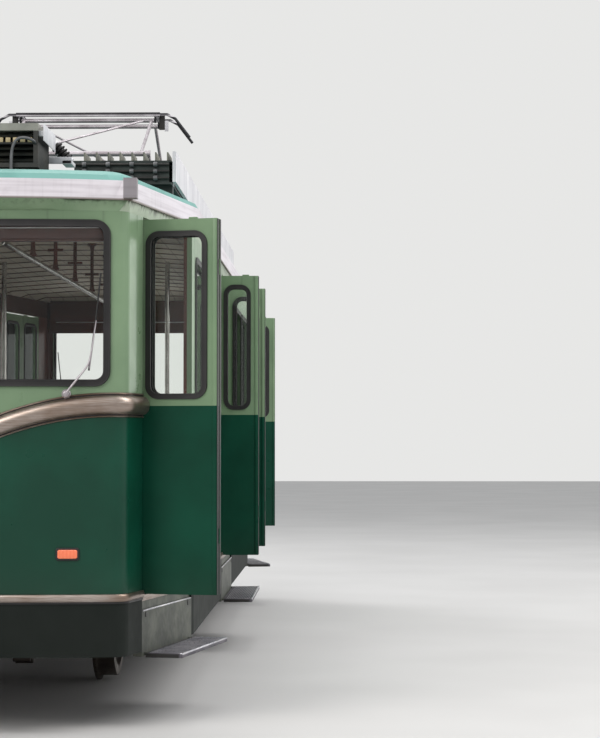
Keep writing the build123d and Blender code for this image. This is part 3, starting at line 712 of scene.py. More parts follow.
for material, nodes in (
        (end_paint, "end_wall_valley end_wall_hill"),
        (side_paint, "side_walls_right side_walls_left"),
        (rail_paint, "cant_rail"), (eave_white, "eave_band"), (roof_teal, "roof"),
        (wheel_steel, "wheelset_valley wheelset_hill rack_pinion_valley rack_pinion_hill"),
        (black_steel, "air_tanks axle_boxes leaf_springs traction_motors"),
        (rail_chrome, "grab_rails"), (base_finish, "pantograph_base"),
        (tube_grey, "pantograph_lower_valley pantograph_lower_hill"),
        (tube_grey, "pantograph_upper_valley pantograph_upper_hill"),
        (head_finish, "pantograph_head")):
    for node in nodes.split():
        smooth_copy(node, material)
as_they_are = {
    "floor": ribbed_floor, "underframe": black_steel, "couplers": black_steel,
    "draught_screens": board_varnish, "driver_desks": desk_paint, "resistors": fin_steel,
    "roof_covers": cover_paint, "roof_cabinet": cabinet_paint, "side_windows": glass,
    "windscreens": glass, "door_sills": sill_grey,
}
as_they_are.update({body: door_paint for body, place, edges, is_first in leaves})
for node, material in as_they_are.items():
    frame["nodes"][node].data.materials.clear()
    frame["nodes"][node].data.materials.append(material)
print(len(as_they_are), "solids keep their own shape")

# %% [markdown]
# Every window sits in a black rubber gasket that laps the panel by a thumb's width. It starts as
# one square whose corners are beveled round, is inset to leave a ring, thickened, and its edges
# rounded. The windscreens' gaskets reach a little higher than the panes, as the photograph shows.

# %% Window gaskets
window_radius = 0.07


def rounded_ring(width, height, radius, lap, lip, thick):
    """A rubber ring about a window, in the XZ plane, centred, from y = -thick to 0.

    It laps the panel by lap and reaches lip over the glass, with a groove round its middle."""
    shape = bmesh.new()
    bmesh.ops.create_grid(shape, x_segments=1, y_segments=1, size=0.5)
    bmesh.ops.scale(shape, vec=(width + 2 * lap, height + 2 * lap, 1), verts=shape.verts)
    rounded(shape, shape.verts[:], radius + lap, 7, "VERTICES")
    face = shape.faces[:]
    bmesh.ops.inset_region(shape, faces=face, thickness=lap + lip, use_boundary=True,
                           use_even_offset=True)
    bmesh.ops.delete(shape, geom=face, context="FACES_ONLY")
    ring = bmesh.ops.extrude_face_region(shape, geom=shape.faces[:])["geom"]
    raised = [v for v in ring if isinstance(v, bmesh.types.BMVert)]
    bmesh.ops.translate(shape, vec=(0, 0, thick), verts=raised)
    shape.normal_update()
    top = [e for e in ring if isinstance(e, bmesh.types.BMEdge) and
           len([f for f in e.link_faces if abs(f.normal.z) < 0.5]) == 1]
    rounded(shape, top, thick * 0.35, 2)
    shape.normal_update()
    crown = [f for f in shape.faces if f.normal.z > 0.9]
    bmesh.ops.inset_region(shape, faces=crown, thickness=(lap + lip - thick * 0.7) * 0.3,
                           depth=-thick * 0.3, use_even_offset=True, use_boundary=True)
    bmesh.ops.rotate(shape, cent=(0, 0, 0), matrix=Matrix.Rotation(pi / 2, 3, "X"),
                     verts=shape.verts)
    return shape


def place_ring(name, size, lap, lip, thick, matrix, body="root", radius=window_radius, bowed=False):
    """Adds a ring as a piece. A bowed one is cut into strips and follows the end's skin."""
    width, height = size
    shape = rounded_ring(width, height, radius, lap, lip, thick)
    if bowed:
        for i in range(1, 8):
            cut = -width / 2 - lap + i * (width + 2 * lap) / 8
            bmesh.ops.bisect_plane(shape, geom=shape.verts[:] + shape.edges[:] + shape.faces[:],
                                   plane_co=(cut, 0, 0), plane_no=(1, 0, 0))
        for v in shape.verts:
            v.co.y -= bow(matrix.translation.x + v.co.x)
    bmesh.ops.transform(shape, matrix=matrix, verts=shape.verts)
    return add_piece(name, shape, rubber, body)


screen_x = (0.05, 0.802)
screen_z = (1.79, 2.634)
window_y = (1.43, 2.66)
window_length = 1.12
window_z = (1.75, 2.56)
for end, about_car in ends:
    for side, side_name in ((-1, "left"), (1, "right")):
        middle = (side * sum(screen_x) / 2, -end_y, sum(screen_z) / 2)
        size = (screen_x[1] - screen_x[0], screen_z[1] - screen_z[0])
        ring = place_ring(f"screen_rubber_{end}_{side_name}", size, 0.010, 0.027, 0.015,
                          Matrix.Translation(middle), bowed=True)
        ring.data.transform(about_car)
count = 0
for side, side_name in ((1, "right"), (-1, "left")):
    for y in (-window_y[1], -window_y[0], window_y[0], window_y[1]):
        place = (Matrix.Translation((side * half_width, y, sum(window_z) / 2))
                 @ Matrix.Rotation(side * pi / 2, 4, "Z"))
        place_ring(f"window_rubber_{side_name}_{count}", (window_length, window_z[1] - window_z[0]),
                   0.018, 0.02, 0.012, place)
        count += 1
print(count, "side windows in rubber")

# %% [markdown]
# Each door leaf has its own tall pane in the same rubber, inside and out, and a dark rubber nose
# along its free edge, which is what shows as a dark line between two folded leaves.

# %% Door leaf glass, rubber and edges
low_v = -leaf_recess - leaf_thick / 2
high_v = -leaf_recess + leaf_thick / 2
for body, place, (u0, u1), is_first in leaves:
    low_u, high_u = sorted((u0, u1))
    middle_u = (low_u + high_u) / 2
    opening = high_u - low_u - 2 * leaf_frame
    centre_z = sum(leaf_window_z) / 2
    size = (opening, leaf_window_z[1] - leaf_window_z[0])
    outer = (place @ Matrix.Translation((middle_u, high_v, centre_z))
             @ Matrix.Rotation(pi, 4, "Z"))
    place_ring(body + "_rubber_out", size, 0.012, 0.018, 0.010, outer, body, 0.06)
    inner = place @ Matrix.Translation((middle_u, low_v, centre_z))
    place_ring(body + "_rubber_in", size, 0.012, 0.018, 0.0025, inner, body, 0.06)
    pane = bmesh.new()
    half = opening / 2 - 0.004
    box_between(pane, (middle_u - half, -leaf_recess - 0.003, leaf_window_z[0] + 0.004),
                (middle_u + half, -leaf_recess + 0.003, leaf_window_z[1] - 0.004))
    rounded(pane, [e for e in pane.edges if abs(e.verts[0].co.y - e.verts[1].co.y) > 0.001],
            0.056, 6)
    bmesh.ops.transform(pane, matrix=place, verts=pane.verts)
    add_piece(body + "_glass", pane, glass, body)
    knee_u = u1 if is_first else u0
    near, far = sorted((knee_u, knee_u + (0.003 if (u1 > u0) == is_first else -0.003)))
    boxes(body + "_nose", [((near, low_v + 0.003, leaf_low_z + 0.002),
                            (far, high_v, leaf_high_z - 0.002), 0.0012)], rubber, body, place)
    edging = [((u - 0.011, high_v - 0.002, leaf_low_z + 0.004),
               (u + 0.011, high_v + 0.004, leaf_high_z - 0.004), 0.003)
              for u in (low_u + 0.014, high_u - 0.014)]
    if is_first:
        guide_u = u0 + (u1 - u0) * 0.7
        edging.append(((guide_u - 0.024, low_v + 0.002, leaf_high_z - 0.002),
                       (guide_u + 0.024, high_v - 0.002, leaf_high_z + 0.009), 0.003))
    boxes(body + "_edging", edging, door_paint, body, place)

# %% [markdown]
# The moulding is rolled sheet: a bold half-round with a thin bead above and below. Its section is
# carried along the skin, round both corners to the door jambs, and dips to a point in the middle. A
# grid is the natural start: one way along the path, the other round the section. In the gap between
# each bead and the half-round runs a thin dark rubber strip, a painted shade. The strip along the
# foot of the panels is a smaller rolled section with a dark rubber strip below it, a painted shadow
# line.

# %% Mouldings and foot strips
moulding_section = ((0.0, 0.064), (0.006, 0.064), (0.009, 0.060), (0.006, 0.056), (0.002, 0.054),
                    (0.002, 0.050), (0.014, 0.048), (0.028, 0.038), (0.037, 0.022), (0.040, 0.004),
                    (0.038, -0.014), (0.032, -0.030), (0.020, -0.042), (0.010, -0.047),
                    (0.002, -0.049), (0.002, -0.053), (0.006, -0.055), (0.009, -0.059),
                    (0.006, -0.063), (0.0, -0.063), (0.0, 0.064))
# Thin dark rubber in the gap beside each bead, a painted shade.
gap_shade_section = ((0.0, 0.0565), (0.0045, 0.0565), (0.0045, 0.0485), (0.0, 0.0485), (0.0, 0.0565))
strip_section = ((0.0, 0.024), (0.006, 0.024), (0.011, 0.019), (0.0135, 0.008), (0.0135, -0.004),
                 (0.010, -0.012), (0.004, -0.016), (0.004, -0.020), (0.0, -0.022), (0.0, 0.024))
shadow_section = ((0.0, -0.016), (0.006, -0.016), (0.006, -0.026), (0.0, -0.026), (0.0, -0.016))


def moulding_z(s):
    short = max(moulding_flat_x - abs(skin_point(s)[0].x), 0.0)
    dip = moulding_corner_z - moulding_middle_z
    return moulding_corner_z - dip * (short / moulding_flat_x) ** 2


def swept(name, section, stations, material, about_car, stands_for=(), crease=60):
    """A closed section of (out, up), carried through stations of (point, out, height)."""
    shape = bmesh.new()
    rows, columns = len(section) - 1, len(stations) - 1
    bmesh.ops.create_grid(shape, x_segments=columns, y_segments=rows, size=0.5)
    for v in shape.verts:
        point, out, height = stations[round((v.co.x + 0.5) * columns)]
        reach, rise = section[round((v.co.y + 0.5) * rows)]
        v.co = (point.x + out.x * reach, point.y + out.y * reach, height + rise)
    bmesh.ops.remove_doubles(shape, verts=shape.verts, dist=1e-5)
    bmesh.ops.edgenet_fill(shape, edges=[e for e in shape.edges if e.is_boundary])
    bmesh.ops.transform(shape, matrix=about_car, verts=shape.verts)
    return add_piece(name, shape, material, "root", stands_for, crease)


def end_stations(height_of, step=0.04):
    flat = [i * step for i in range(int(end_length / step) + 1)]
    turn = [end_length + turn_length * i / 10 for i in range(11)]
    run = [turn[-1] + (jamb_s - turn[-1]) * i / 4 for i in range(1, 5)]
    right = [s for s in flat if s < end_length - 0.01] + turn + run
    return [(*skin_point(s), height_of(s)) for s in [-s for s in reversed(right[1:])] + right]


moulding_path = end_stations(moulding_z)
for end, about_car in ends:
    swept("moulding_" + end, moulding_section, moulding_path, trim, about_car,
          ["mouldings"] if end == "valley" else [])
    for side, fall in (("upper", 0.0), ("lower", 0.1045)):
        swept(f"moulding_gap_shade_{side}_{end}", [(reach, rise - fall) for reach, rise in gap_shade_section],
              moulding_path, rubber, about_car, crease=35)
foot_path = end_stations(lambda s: foot_z)
side_path = [(far_corner, side_out, foot_z),
             (Vector((half_width, -taper_y)), (side_out + Vector((1, 0))).normalized(), foot_z),
             (Vector((half_width, -middle_doorway / 2)), Vector((1, 0)), foot_z)]
runs = [("end_valley", foot_path, still), ("end_hill", foot_path, half_turn),
        ("side_right_valley", side_path, still), ("side_right_hill", side_path, mirror_y),
        ("side_left_hill", side_path, half_turn),
        ("side_left_valley", side_path, half_turn @ mirror_y)]
for name, stations, about_car in runs:
    swept("foot_strip_" + name, strip_section, stations, trim, about_car,
          ["sill_strips"] if name == "end_valley" else [])
    swept("foot_shadow_" + name, shadow_section, stations, rubber, about_car)
print(len(runs), "runs of foot strip")

# %% [markdown]
# The steps fold up when the doors close. Each tread is ribbed plate with a polished nosing,
# carried by two lugs. It is built flat in its doorway's frame and turned a quarter about its rod
# when folded. The threshold, the riser's bright lip and two rubber stops stay with the car.

# %% Treads, thresholds and stops
rod_v, rod_z = 0.012, 0.375
tread_edge = rod_v + 0.012
tread_end = tread_edge + 0.195
tread_top = rod_z + 0.005
tread_foot = tread_top - 0.022
tread_inset = 0.015
nosing_depth = 0.016
lug_inset = 0.0705
for name, place, length, pairs, is_open in doorways:
    rod = Vector((0, rod_v, rod_z))
    stand = place
    if not is_open:
        stand = (place @ Matrix.Translation(rod) @ Matrix.Rotation(pi / 2, 4, "X")
                 @ Matrix.Translation(-rod))
    step = "step_" + name
    boxes(step + "_plate", [
        ((tread_inset, tread_edge, tread_foot),
         (length - tread_inset, tread_end - 0.001, tread_top), 0.0015),
        ((lug_inset, rod_v, rod_z - 0.005), (length - lug_inset, tread_edge + 0.005, rod_z + 0.004),
         0.001)], tread_grey, step, stand, [step])
    ribs = [((0.03, tread_edge + i * 0.012, tread_top - 0.001),
             (length - 0.03, tread_edge + i * 0.012 + 0.003, tread_top + 0.003), 0.0)
            for i in range(1, 15)]
    nose = ((tread_inset, tread_end - nosing_depth, tread_top - 0.007),
            (length - tread_inset, tread_end, tread_top + 0.003), 0.003)
    boxes(step + "_nosing", [nose] + ribs, bright_steel, step, stand)
    boxes(step + "_brackets", [
        ((u, tread_edge - 0.008, tread_foot),
         (u + 0.004, tread_end - 0.02, tread_top - 0.002), 0.001)
        for u in (tread_inset - 0.004, length - tread_inset)], black_steel, step, stand)
    boxes("threshold_" + name, [
        ((0.002, -0.046, 0.679), (length - 0.002, -0.010, 0.6835), 0.0015),
        ((0.002, -0.013, 0.652), (length - 0.002, -0.006, 0.6835), 0.002)], trim, "root", place)
    boxes("riser_lip_" + name, [((0.02, -0.006, 0.5985), (length - 0.02, 0.003, 0.6065), 0.002)],
          bright_steel, "root", place)
    stops = bmesh.new()
    for u in (0.07, length - 0.07):
        turned(stops, ((0, 0.003), (0.013, 0.003), (0.015, 0.0015), (0.015, -0.001), (0, -0.001)),
               place @ Matrix.Translation((u, 0, 0.58)) @ Matrix.Rotation(-pi / 2, 4, "X"), 16)
    add_piece("stops_" + name, stops, rubber)

# %% [markdown]
# Lamps. An indicator is a ribbed orange lens in a black rubber frame. The headlamp is turned work:
# a chrome bezel, a dished reflector and a domed glass, each spun from half its section.

# %% Lamps
indicator_x = 0.596
indicator_z = 0.919
headlamp_z = 1.29


def on_end(x, z):
    """A matrix for a piece on the valley end: its Z points outwards, its Y up."""
    angle = atan2(x, bow_centre.y + end_y + bow(x))
    return (Matrix.Translation((x, -end_y - bow(x), z)) @ Matrix.Rotation(angle, 4, "Z")
            @ Matrix.Rotation(pi / 2, 4, "X"))


def pad(shape, width, height, low, high, radius, round_by, place):
    """A plate with rounded corners between two heights, its upper edge rounded."""
    before = set(shape.verts)
    box_between(shape, (-width / 2, -height / 2, low), (width / 2, height / 2, high))
    rounded(shape, [e for e in edges_of(newer(shape, before))
                    if abs(e.verts[0].co.z - e.verts[1].co.z) > 1e-6], radius, 5)
    rounded(shape, [e for e in edges_of(newer(shape, before))
                    if min(v.co.z for v in e.verts) > high - 1e-6], round_by, 3)
    bmesh.ops.transform(shape, matrix=place, verts=newer(shape, before))


for end, about_car in ends:
    frames, lenses = bmesh.new(), bmesh.new()
    for side in (-1, 1):
        place = about_car @ on_end(side * indicator_x, indicator_z)
        pad(frames, 0.122, 0.066, -0.004, 0.009, 0.014, 0.004, place)
        pad(lenses, 0.102, 0.046, 0.006, 0.013, 0.010, 0.005, place)
    add_piece("indicator_frames_" + end, frames, rubber, "root",
              ["lamps"] if end == "valley" else [])
    add_piece("indicator_lenses_" + end, lenses, orange_lens)
    place = about_car @ on_end(0, headlamp_z)
    spun("headlamp_bezel_" + end, (
        (0.078, -0.01), (0.095, -0.01), (0.095, 0.040), (0.091, 0.052), (0.084, 0.056),
        (0.078, 0.050), (0.076, 0.036), (0.078, -0.01)), lamp_chrome, place, 48)
    spun("headlamp_reflector_" + end, (
        (0, -0.004), (0.03, 0.0), (0.055, 0.012), (0.077, 0.036), (0.0775, 0.038),
        (0.0775, -0.008), (0, -0.008)), lamp_chrome, place, 48)
    spun("headlamp_glass_" + end, (
        (0, 0.0615), (0.03, 0.060), (0.055, 0.0555), (0.0775, 0.047), (0.0775, 0.044),
        (0.055, 0.0525), (0.03, 0.057), (0, 0.0585)), lamp_glass, place, 48)

# %% [markdown]
# Each wiper is a turned spindle on the moulding, a tapering bright arm that leans to the screen's
# outer edge, and a slim blade with a steel back. The arm bends gently, so it is a curve made solid.

# %% Wipers
wiper_x = 0.587
wiper_z = 1.742
wiper_stand = 0.042
replaced = ["wipers"]
for end, about_car in ends:
    for side, side_name in ((1, "right"), (-1, "left")):
        tag = side_name + "_" + end

        def line(*knots):
            """Knots of (x, height, how far out from the end's skin), carried to this wiper."""
            return [about_car @ Vector((side * x, -end_y - bow(x) - out, z)) for x, z, out in knots]

        spun("wiper_spindle_" + tag, (
            (0, 0.052), (0.007, 0.052), (0.009, 0.046), (0.015, 0.044), (0.019, 0.036),
            (0.019, 0.010), (0.024, 0.006), (0.024, -0.004), (0, -0.004)),
            tube_grey, about_car @ on_end(side * wiper_x, wiper_z), 24, replaced)
        replaced = []
        tube("wiper_arm_" + tag, line(
            (wiper_x, wiper_z, wiper_stand), (0.645, 1.815, wiper_stand),
            (0.690, 1.872, wiper_stand), (0.708, 1.900, 0.036), (0.722, 1.985, 0.030)),
            0.0062, tube_grey, 0.6)
        tube("wiper_back_" + tag, line((0.708, 1.872, 0.029), (0.716, 1.95, 0.030),
                                       (0.742, 2.12, 0.029)), 0.0042, tube_grey, 0.7)
        tube("wiper_blade_" + tag, line((0.704, 1.862, 0.0225), (0.738, 2.10, 0.0225),
                                        (0.764, 2.365, 0.0225)), 0.0048, rubber)

# %% [markdown]
# Through the glass one sees a dark varnished header over each windscreen with a thin strip painted
# pale, a painted highlight for the glint along it, a cream ceiling crossed by battens, and a
# polished rail on dark hangers. The battens follow the ceiling's panels, so each is a narrow grid
# bent to their profile and given a thickness.

# %% Headers, battens and hangers
ceiling_flat_x, ceiling_flat_z = 0.275, 2.926
ceiling_side_x, ceiling_side_z = 1.025, 2.878
ceiling_profile = ((-1.115, 2.845), (-ceiling_side_x, ceiling_side_z),
                   (-ceiling_flat_x, ceiling_flat_z), (ceiling_flat_x, ceiling_flat_z),
                   (ceiling_side_x, ceiling_side_z), (1.115, 2.845))
ceiling_end_y = 3.65
ceiling_end_slope = 0.064
batten_width = 0.022


def ceiling_z(x, y):
    """Height of the ceiling above a point."""
    slope = (ceiling_flat_z - ceiling_side_z) / (ceiling_side_x - ceiling_flat_x)
    fall = max(abs(x) - ceiling_flat_x, 0) * slope
    return ceiling_flat_z - max(fall, max(abs(y) - ceiling_end_y, 0) * ceiling_end_slope)


battens = bmesh.new()
for number in range(21):
    y = -4.2 + number * 0.42
    drawn_in = max(abs(y) - taper_y, 0) * side_along.x / side_along.y
    for v in bmesh.ops.create_grid(battens, x_segments=5, y_segments=1, size=0.5)["verts"]:
        x, z = ceiling_profile[round((v.co.x + 0.5) * 5)]
        if abs(x) > 1:
            x -= drawn_in * (1 if x > 0 else -1)
            z -= 0.004
        v.co = (x, y + v.co.y * batten_width, min(z, ceiling_z(x, y)) - 0.001)
bmesh.ops.solidify(battens, geom=battens.faces[:], thickness=0.006)
add_piece("ceiling_battens", battens, board_varnish)

for end, about_car in ends:
    boxes("header_" + end, [((-0.82, -4.462, 2.548), (0.82, -4.440, 2.856), 0.003),
                            ((-0.82, -4.468, 2.542), (0.82, -4.434, 2.556), 0.004)],
          header_board, "root", about_car)
    # The thin strips are painted pale as a painted highlight, standing for the glint seen along
    # them.
    boxes("header_strip_" + end, [((-0.76, -4.465, 2.611), (0.76, -4.461, 2.618), 0.0012),
                                  ((-0.76, -4.441, 2.644), (0.76, -4.437, 2.651), 0.0012)],
          cover_paint, "root", about_car)

rail_x = 0.2
rail_z = 2.56
rail_end_y = 4.14
hangers = bmesh.new()
for i in range(10):
    y = -rail_end_y + i * 2 * rail_end_y / 9
    top = ceiling_z(rail_x, y) - rail_z
    turned(hangers, ((0.0105, 0.018), (0.022, 0.018), (0.022, 0.03), (0.016, 0.04), (0.0125, 0.09),
                     (0.0125, top - 0.05), (0.018, top - 0.02), (0.034, top - 0.012),
                     (0.034, top + 0.002), (0.0105, top + 0.002), (0.0105, 0.018)),
           Matrix.Translation((rail_x, y, rail_z)), 20)
    box_between(hangers, (rail_x - 0.05, y - 0.009, rail_z + 0.135),
                (rail_x + 0.05, y + 0.009, rail_z + 0.153), 0.004)
add_piece("rail_hangers", hangers, header_board)

# %% [markdown]
# The benches have loose cushions on a steel frame with a plywood back. A cushion swells when it is
# stuffed, and the honest way to get that shape is to inflate cloth: a rounded block is remeshed,
# given a little pressure with gravity off, and its points are kept from moving too far. One seat
# and one back are made so, and copied to each bench.

# %% Cushion shapes
bench_in = 0.26
bench_out = 1.097
bench_width = bench_out - bench_in
seat_depth = 0.44
seat_thick = 0.075
seat_top = 1.14
back_top = 1.665
back_thick = 0.038
board_thick = 0.014


def evaluated(item):
    """The mesh of an object as its modifiers leave it."""
    graph = bpy.context.evaluated_depsgraph_get()
    return bpy.data.meshes.new_from_object(item.evaluated_get(graph))


def stuffed(name, size, round_by, swell, cell):
    """A cushion that fills a box of this size: its own block, a little smaller, then swollen."""
    shape = bmesh.new()
    half = [s / 2 - swell for s in size]
    box_between(shape, [-h for h in half], half, round_by)
    trial = new_object(name, new_mesh(name, shape))
    remesh = trial.modifiers.new("voxels", "REMESH")
    remesh.mode = "VOXEL"
    remesh.voxel_size = cell
    block = evaluated(trial)
    trial.modifiers.clear()
    trial.data = block
    cloth = trial.modifiers.new("stuffing", "CLOTH")
    cloth.settings.use_pressure = True
    cloth.settings.uniform_pressure_force = 4
    cloth.settings.effector_weights.gravity = 0
    for step in range(1, 21):
        scene.frame_set(step)
    swollen = evaluated(trial)
    scene.frame_set(1)
    for v, was in zip(swollen.vertices, block.vertices):
        way = v.co - was.co
        if way.length > swell:
            v.co = was.co + way.normalized() * swell
        v.co = [max(-s / 2, min(s / 2, c)) for c, s in zip(v.co, size)]
    bpy.data.objects.remove(trial)
    return swollen


seat_mesh = stuffed("seat_block", (bench_width, seat_depth - back_thick, seat_thick), 0.016, 0.009,
                    0.014)
back_mesh = stuffed("back_block", (bench_width, back_thick - board_thick,
                                   back_top - seat_top - 0.06), 0.008, 0.004, 0.010)
print("seat cushion", len(seat_mesh.polygons), "faces, back cushion", len(back_mesh.polygons))

# %% [markdown]
# Three sewn channels run across each cushion. They are pressed in after the stuffing, as a seam
# pulled down with thread would be, deepest on the line and easing out on both sides.

# %% Benches
seams = (-0.21, 0.0, 0.21)


def cushion(name, mesh, through, depth, reach, place, replaced=()):
    """A stuffed mesh with sewn lines pressed through its thickness, put in place as a piece."""
    shape = bmesh.new()
    shape.from_mesh(mesh)
    for v in shape.verts:
        near = min(abs(v.co.x - seam) for seam in seams)
        if near < reach and abs(v.co[through]) > 0.004:
            sink = depth * (0.5 + 0.5 * cos(pi * near / reach))
            v.co[through] -= sink * (1 if v.co[through] > 0 else -1)
    bmesh.ops.transform(shape, matrix=place, verts=shape.verts)
    return add_piece(name, shape, seat_leather, "root", replaced, 60)


middle_x = (bench_in + bench_out) / 2
frame_top = seat_top - seat_thick
bench_rows = ((-3.23, 1), (-1.79, -1), (-1.75, 1))
quarters = (("right_valley", still), ("right_hill", mirror_y), ("left_valley", mirror_x),
            ("left_hill", half_turn))
frames, boards = bmesh.new(), bmesh.new()
for number, (y, way) in enumerate(bench_rows):

    def between(start, end):
        """Where a stretch lies along the car, measured from the bench's back."""
        return sorted((y + way * start, y + way * end))

    for name, about_car in quarters:
        tag = f"{name}_{number}"
        spot = (middle_x, sum(between(back_thick, seat_depth)) / 2, seat_top - seat_thick / 2)
        cushion("seat_cushion_" + tag, seat_mesh, 2, 0.007, 0.03,
                          about_car @ Matrix.Translation(spot),
                          ["benches"] if tag == "right_valley_0" else [])
        spot = (middle_x, sum(between(board_thick, back_thick)) / 2,
                (seat_top + back_top) / 2 + 0.01)
        cushion("back_cushion_" + tag, back_mesh, 1, 0.004, 0.025,
                          about_car @ Matrix.Translation(spot))
        low_y, high_y = between(0, 0.013)
        box_between(boards, (bench_in, low_y, seat_top - 0.12),
                    (bench_out, high_y, back_top), 0.004, about_car)
        for x in (bench_in + 0.02, bench_in + 0.32):
            for leg in (0.03, 0.38):
                leg_y = y + way * leg
                box_between(frames, (x, leg_y - 0.014, 0.685),
                            (x + 0.028, leg_y + 0.014, frame_top - 0.02), 0.004, about_car)
        low_y, high_y = between(0.014, 0.42)
        box_between(frames, (bench_in + 0.01, low_y, frame_top - 0.024),
                    (bench_out, high_y, frame_top - 0.001), 0.004, about_car)
add_piece("bench_boards", boards, board_varnish)
add_piece("bench_frames", frames, desk_paint)
print(len(bench_rows) * len(quarters), "benches with cushions")

# %% [markdown]
# The driver's desk gets what a driver touches: a controller with its hand wheel, a brake lever and
# three round dials. All are turned or bent bars, standing on the desk that the solids give.

# %% Controls on the desks
desk_top = 1.48
dial_x = (-0.18, 0.0, 0.18)
for end, about_car in ends:
    bezels, faces, wheel = bmesh.new(), bmesh.new(), bmesh.new()
    for x in dial_x:
        place = (about_car @ Matrix.Translation((x, -4.300, desk_top + 0.062))
                 @ Matrix.Rotation(-pi / 2, 4, "X"))
        turned(bezels, ((0.040, 0.0), (0.050, 0.0), (0.050, 0.010), (0.046, 0.014), (0.041, 0.012),
                        (0.040, 0.0)), place)
        turned(faces, ((0, 0.007), (0.0405, 0.007), (0.0405, -0.001), (0, -0.001)), place)
    add_piece("dial_bezels_" + end, bezels, lamp_chrome)
    add_piece("dial_faces_" + end, faces, ceiling_cream)
    hub = about_car @ Matrix.Translation((-0.4, -4.33, desk_top + 0.08))
    rim = [(0.09 + 0.010 * cos(a * pi / 5), 0.035 + 0.010 * sin(a * pi / 5)) for a in range(11)]
    turned(wheel, rim, hub, 40)
    turned(wheel, ((0, 0.045), (0.018, 0.045), (0.022, 0.03), (0.022, 0.0), (0, 0.0)), hub, 24)
    for i in range(3):
        box_between(wheel, (0.015, -0.006, 0.030), (0.088, 0.006, 0.040), 0.003,
                    hub @ Matrix.Rotation(i * 2 * pi / 3, 4, "Z"))
    add_piece("controller_wheel_" + end, wheel, lamp_chrome)
    tube("brake_lever_" + end, [about_car @ Vector((0.42, y, desk_top + rise)) for y, rise in (
        (-4.34, -0.005), (-4.34, 0.06), (-4.30, 0.12), (-4.22, 0.15))], 0.009, lamp_chrome)

# %% [markdown]
# On the roof, the cabinet carries a row of terminal blocks before its louvres, a bent conduit, a
# pale side sheet on brackets, and a ribbed surge arrester behind it. Rods with round terminals run
# out of the resistors. The pantograph's head has a light end plate on each side, hung from an arm.

# %% Roof fittings
boxes("terminal_rail", [((-0.3215, -3.998, 3.122), (0.3215, -3.986, 3.134), 0.002)], black_steel)
boxes("terminal_blocks", [((x - 0.013, -3.999, 3.133), (x + 0.013, -3.983, 3.160), 0.003)
                          for x in (-0.30 + i * 0.04 for i in range(16))], beige_block)
tube("cabinet_conduit", [(0.202, -4.022, 2.955), (0.202, -4.022, 3.03), (0.206, -4.022, 3.10),
                         (0.232, -4.022, 3.152), (0.285, -4.022, 3.156), (0.326, -4.020, 3.138),
                         (0.330, -4.002, 3.128), (0.330, -3.985, 3.128)], 0.0085, cable_grey)
boxes("cabinet_side_sheet", [((0.374, -4.0, 3.142), (0.378, -3.56, 3.236), 0.001)] +
      [((0.344, y - 0.012, 3.17), (0.3745, y + 0.012, 3.20), 0.002) for y in (-3.96, -3.62)],
      cover_paint)

foot, tip = Vector((0.452, -3.46, 3.095)), Vector((0.352, -3.46, 3.208))
stand = Matrix.Translation(foot) @ (tip - foot).to_track_quat("Z", "Y").to_matrix().to_4x4()
sheds = [(0, 0.018), (0.022, 0.018)]
for i in range(1, 6):
    z = i * 0.022
    sheds += [(0.024, z), (0.036, z + 0.005), (0.036, z + 0.010), (0.024, z + 0.016)]
spun("arrester_body", sheds + [(0.022, 0.134), (0, 0.134)], rubber, stand, 32)
caps = bmesh.new()
for z in (0.0, 0.132):
    turned(caps, ((0, z), (0.016, z), (0.026, z + 0.004), (0.026, z + 0.014), (0.016, z + 0.019),
                  (0, z + 0.019)), stand, 24)
box_between(caps, (0.335, -3.592, 3.070), (0.475, -3.586, 3.110), 0.002)
box_between(caps, (0.42, -3.592, 3.070), (0.475, -3.43, 3.092), 0.003)
add_piece("arrester_caps", caps, cover_paint)

rod_length = 0.56
rods, terminals = bmesh.new(), bmesh.new()
for side in (-1, 1):
    for y in (-3.162, 3.162):
        for z in (3.045, 3.085, 3.125):
            place = (Matrix.Translation((side * 0.43, y, z))
                     @ Matrix.Rotation(side * pi / 2, 4, "Y"))
            turned(rods, ((0, 0.0), (0.007, 0.0), (0.007, rod_length), (0, rod_length)), place, 12)
            for along in (0.06, 0.20, 0.34, 0.48):
                turned(terminals, ((0, along - 0.012), (0.014, along - 0.012), (0.016, along),
                                   (0.014, along + 0.012), (0, along + 0.012)), place, 12)
add_piece("resistor_rods", rods, black_steel)
add_piece("resistor_terminals", terminals, cable_grey)

plate_y = 0.88
plates, arms = [], []
for side in (-1, 1):
    (low_x, high_x), (in_x, out_x) = (sorted((side * a, side * b))
                                      for a, b in ((0.604, 0.634), (0.560, 0.606)))
    plates.append(((low_x, plate_y, 3.95), (high_x, plate_y + 0.006, 4.035), 0.001))
    arms.append(((in_x, plate_y - 0.002, 3.962), (out_x, plate_y + 0.012, 4.085), 0.003))
boxes("head_plates", plates, cover_paint, "pantograph_head")
boxes("head_arms", arms, black_steel, "pantograph_head")

# %% [markdown]
# The car stands in a plain studio: a pale floor, a pale surround that the camera, metal and glass
# all see, and large soft lamps. The tall lamp far behind on the right draws the bright line down
# the rounded corner. The camera was worked out from the photograph's straight edges.

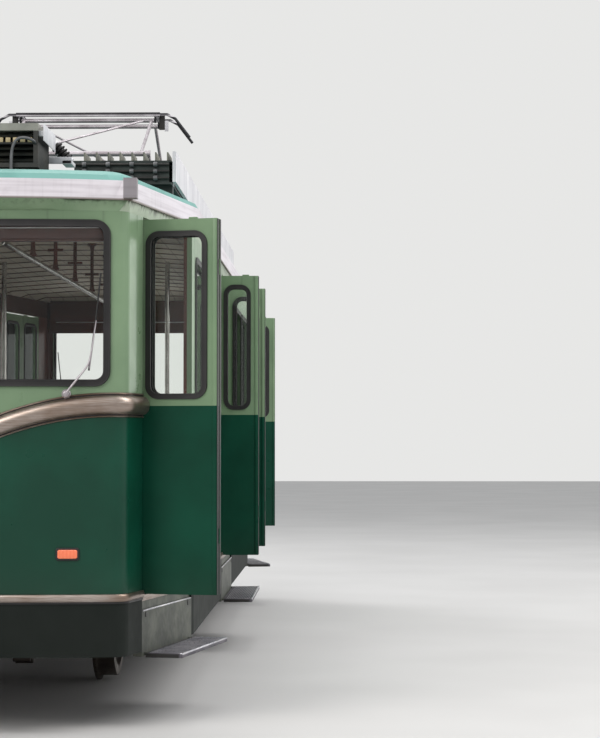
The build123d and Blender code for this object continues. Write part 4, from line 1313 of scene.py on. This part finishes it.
# %% Floor and light
floor_shape = bmesh.new()
bmesh.ops.create_grid(floor_shape, x_segments=1, y_segments=1, size=60)
studio_floor = new_object("studio_floor", new_mesh("studio_floor", floor_shape))
pale, pale_shader, place = new_finish("Studio floor", roughness=0.8)
feed(pale_shader, "Base Color", place.noise(0.6, 2).tones(0.2, 0.8, (196, 194, 192),
                                                          (204, 202, 200)))
studio_floor.data.materials.append(pale)

world = bpy.data.worlds.new("Studio")
scene.world = world
world.use_nodes = True
paths = world.node_tree.nodes.new("ShaderNodeLightPath")
seen, glossy, passed = (Wire(world.node_tree, paths.outputs[f"Is {kind} Ray"])
                        for kind in ("Camera", "Glossy", "Transmission"))
lit = seen.larger(glossy).larger(passed).mix((0.60, 0.62, 0.64, 1), (0.80, 0.80, 0.79, 1))
world.node_tree.links.new(lit.socket, world.node_tree.nodes["Background"].inputs["Color"])


def lamp(name, place, target, size, power, colour=(1, 1, 1)):
    data = bpy.data.lights.new(name, "AREA")
    data.shape = "RECTANGLE"
    data.size, data.size_y = size
    data.energy = power
    data.color = colour
    item = new_object(name, data)
    item.location = place
    item.rotation_euler = (Vector(target) - Vector(place)).to_track_quat("-Z", "Y").to_euler()


lamp("key_light", (-7, -15, 11), (0, -4, 1.5), (8, 8), 1250, (1.0, 0.98, 0.95))
lamp("side_light", (11, -4, 12), (1, -1, 1.5), (8, 10), 1300)
lamp("back_light", (-9, 12, 10), (0, 2, 1.5), (8, 8), 900, (0.97, 0.98, 1.0))
lamp("top_light", (0, 2, 14), (0, 0, 2), (8, 12), 550)
lamp("corner_light", (14, 16, 4), (0.9, -4.5, 1.9), (2, 7), 220)

# %% Camera
scene.view_settings.view_transform = "Standard"
photo_width, photo_height = 600, 738
focal_pixels = 2000
vanishing = (342, 441)
camera_data = bpy.data.cameras.new("camera")
camera = new_object("camera", camera_data)
scene.camera = camera
camera_data.sensor_fit = "VERTICAL"
camera_data.sensor_height = 36
camera_data.lens = focal_pixels / photo_height * camera_data.sensor_height
camera.location = (2.006, -14.85, 1.5)
pan = atan2(vanishing[0] - photo_width / 2, focal_pixels)
tilt = atan2(vanishing[1] - photo_height / 2, focal_pixels)
camera.rotation_euler = (pi / 2 + tilt, 0, pan)
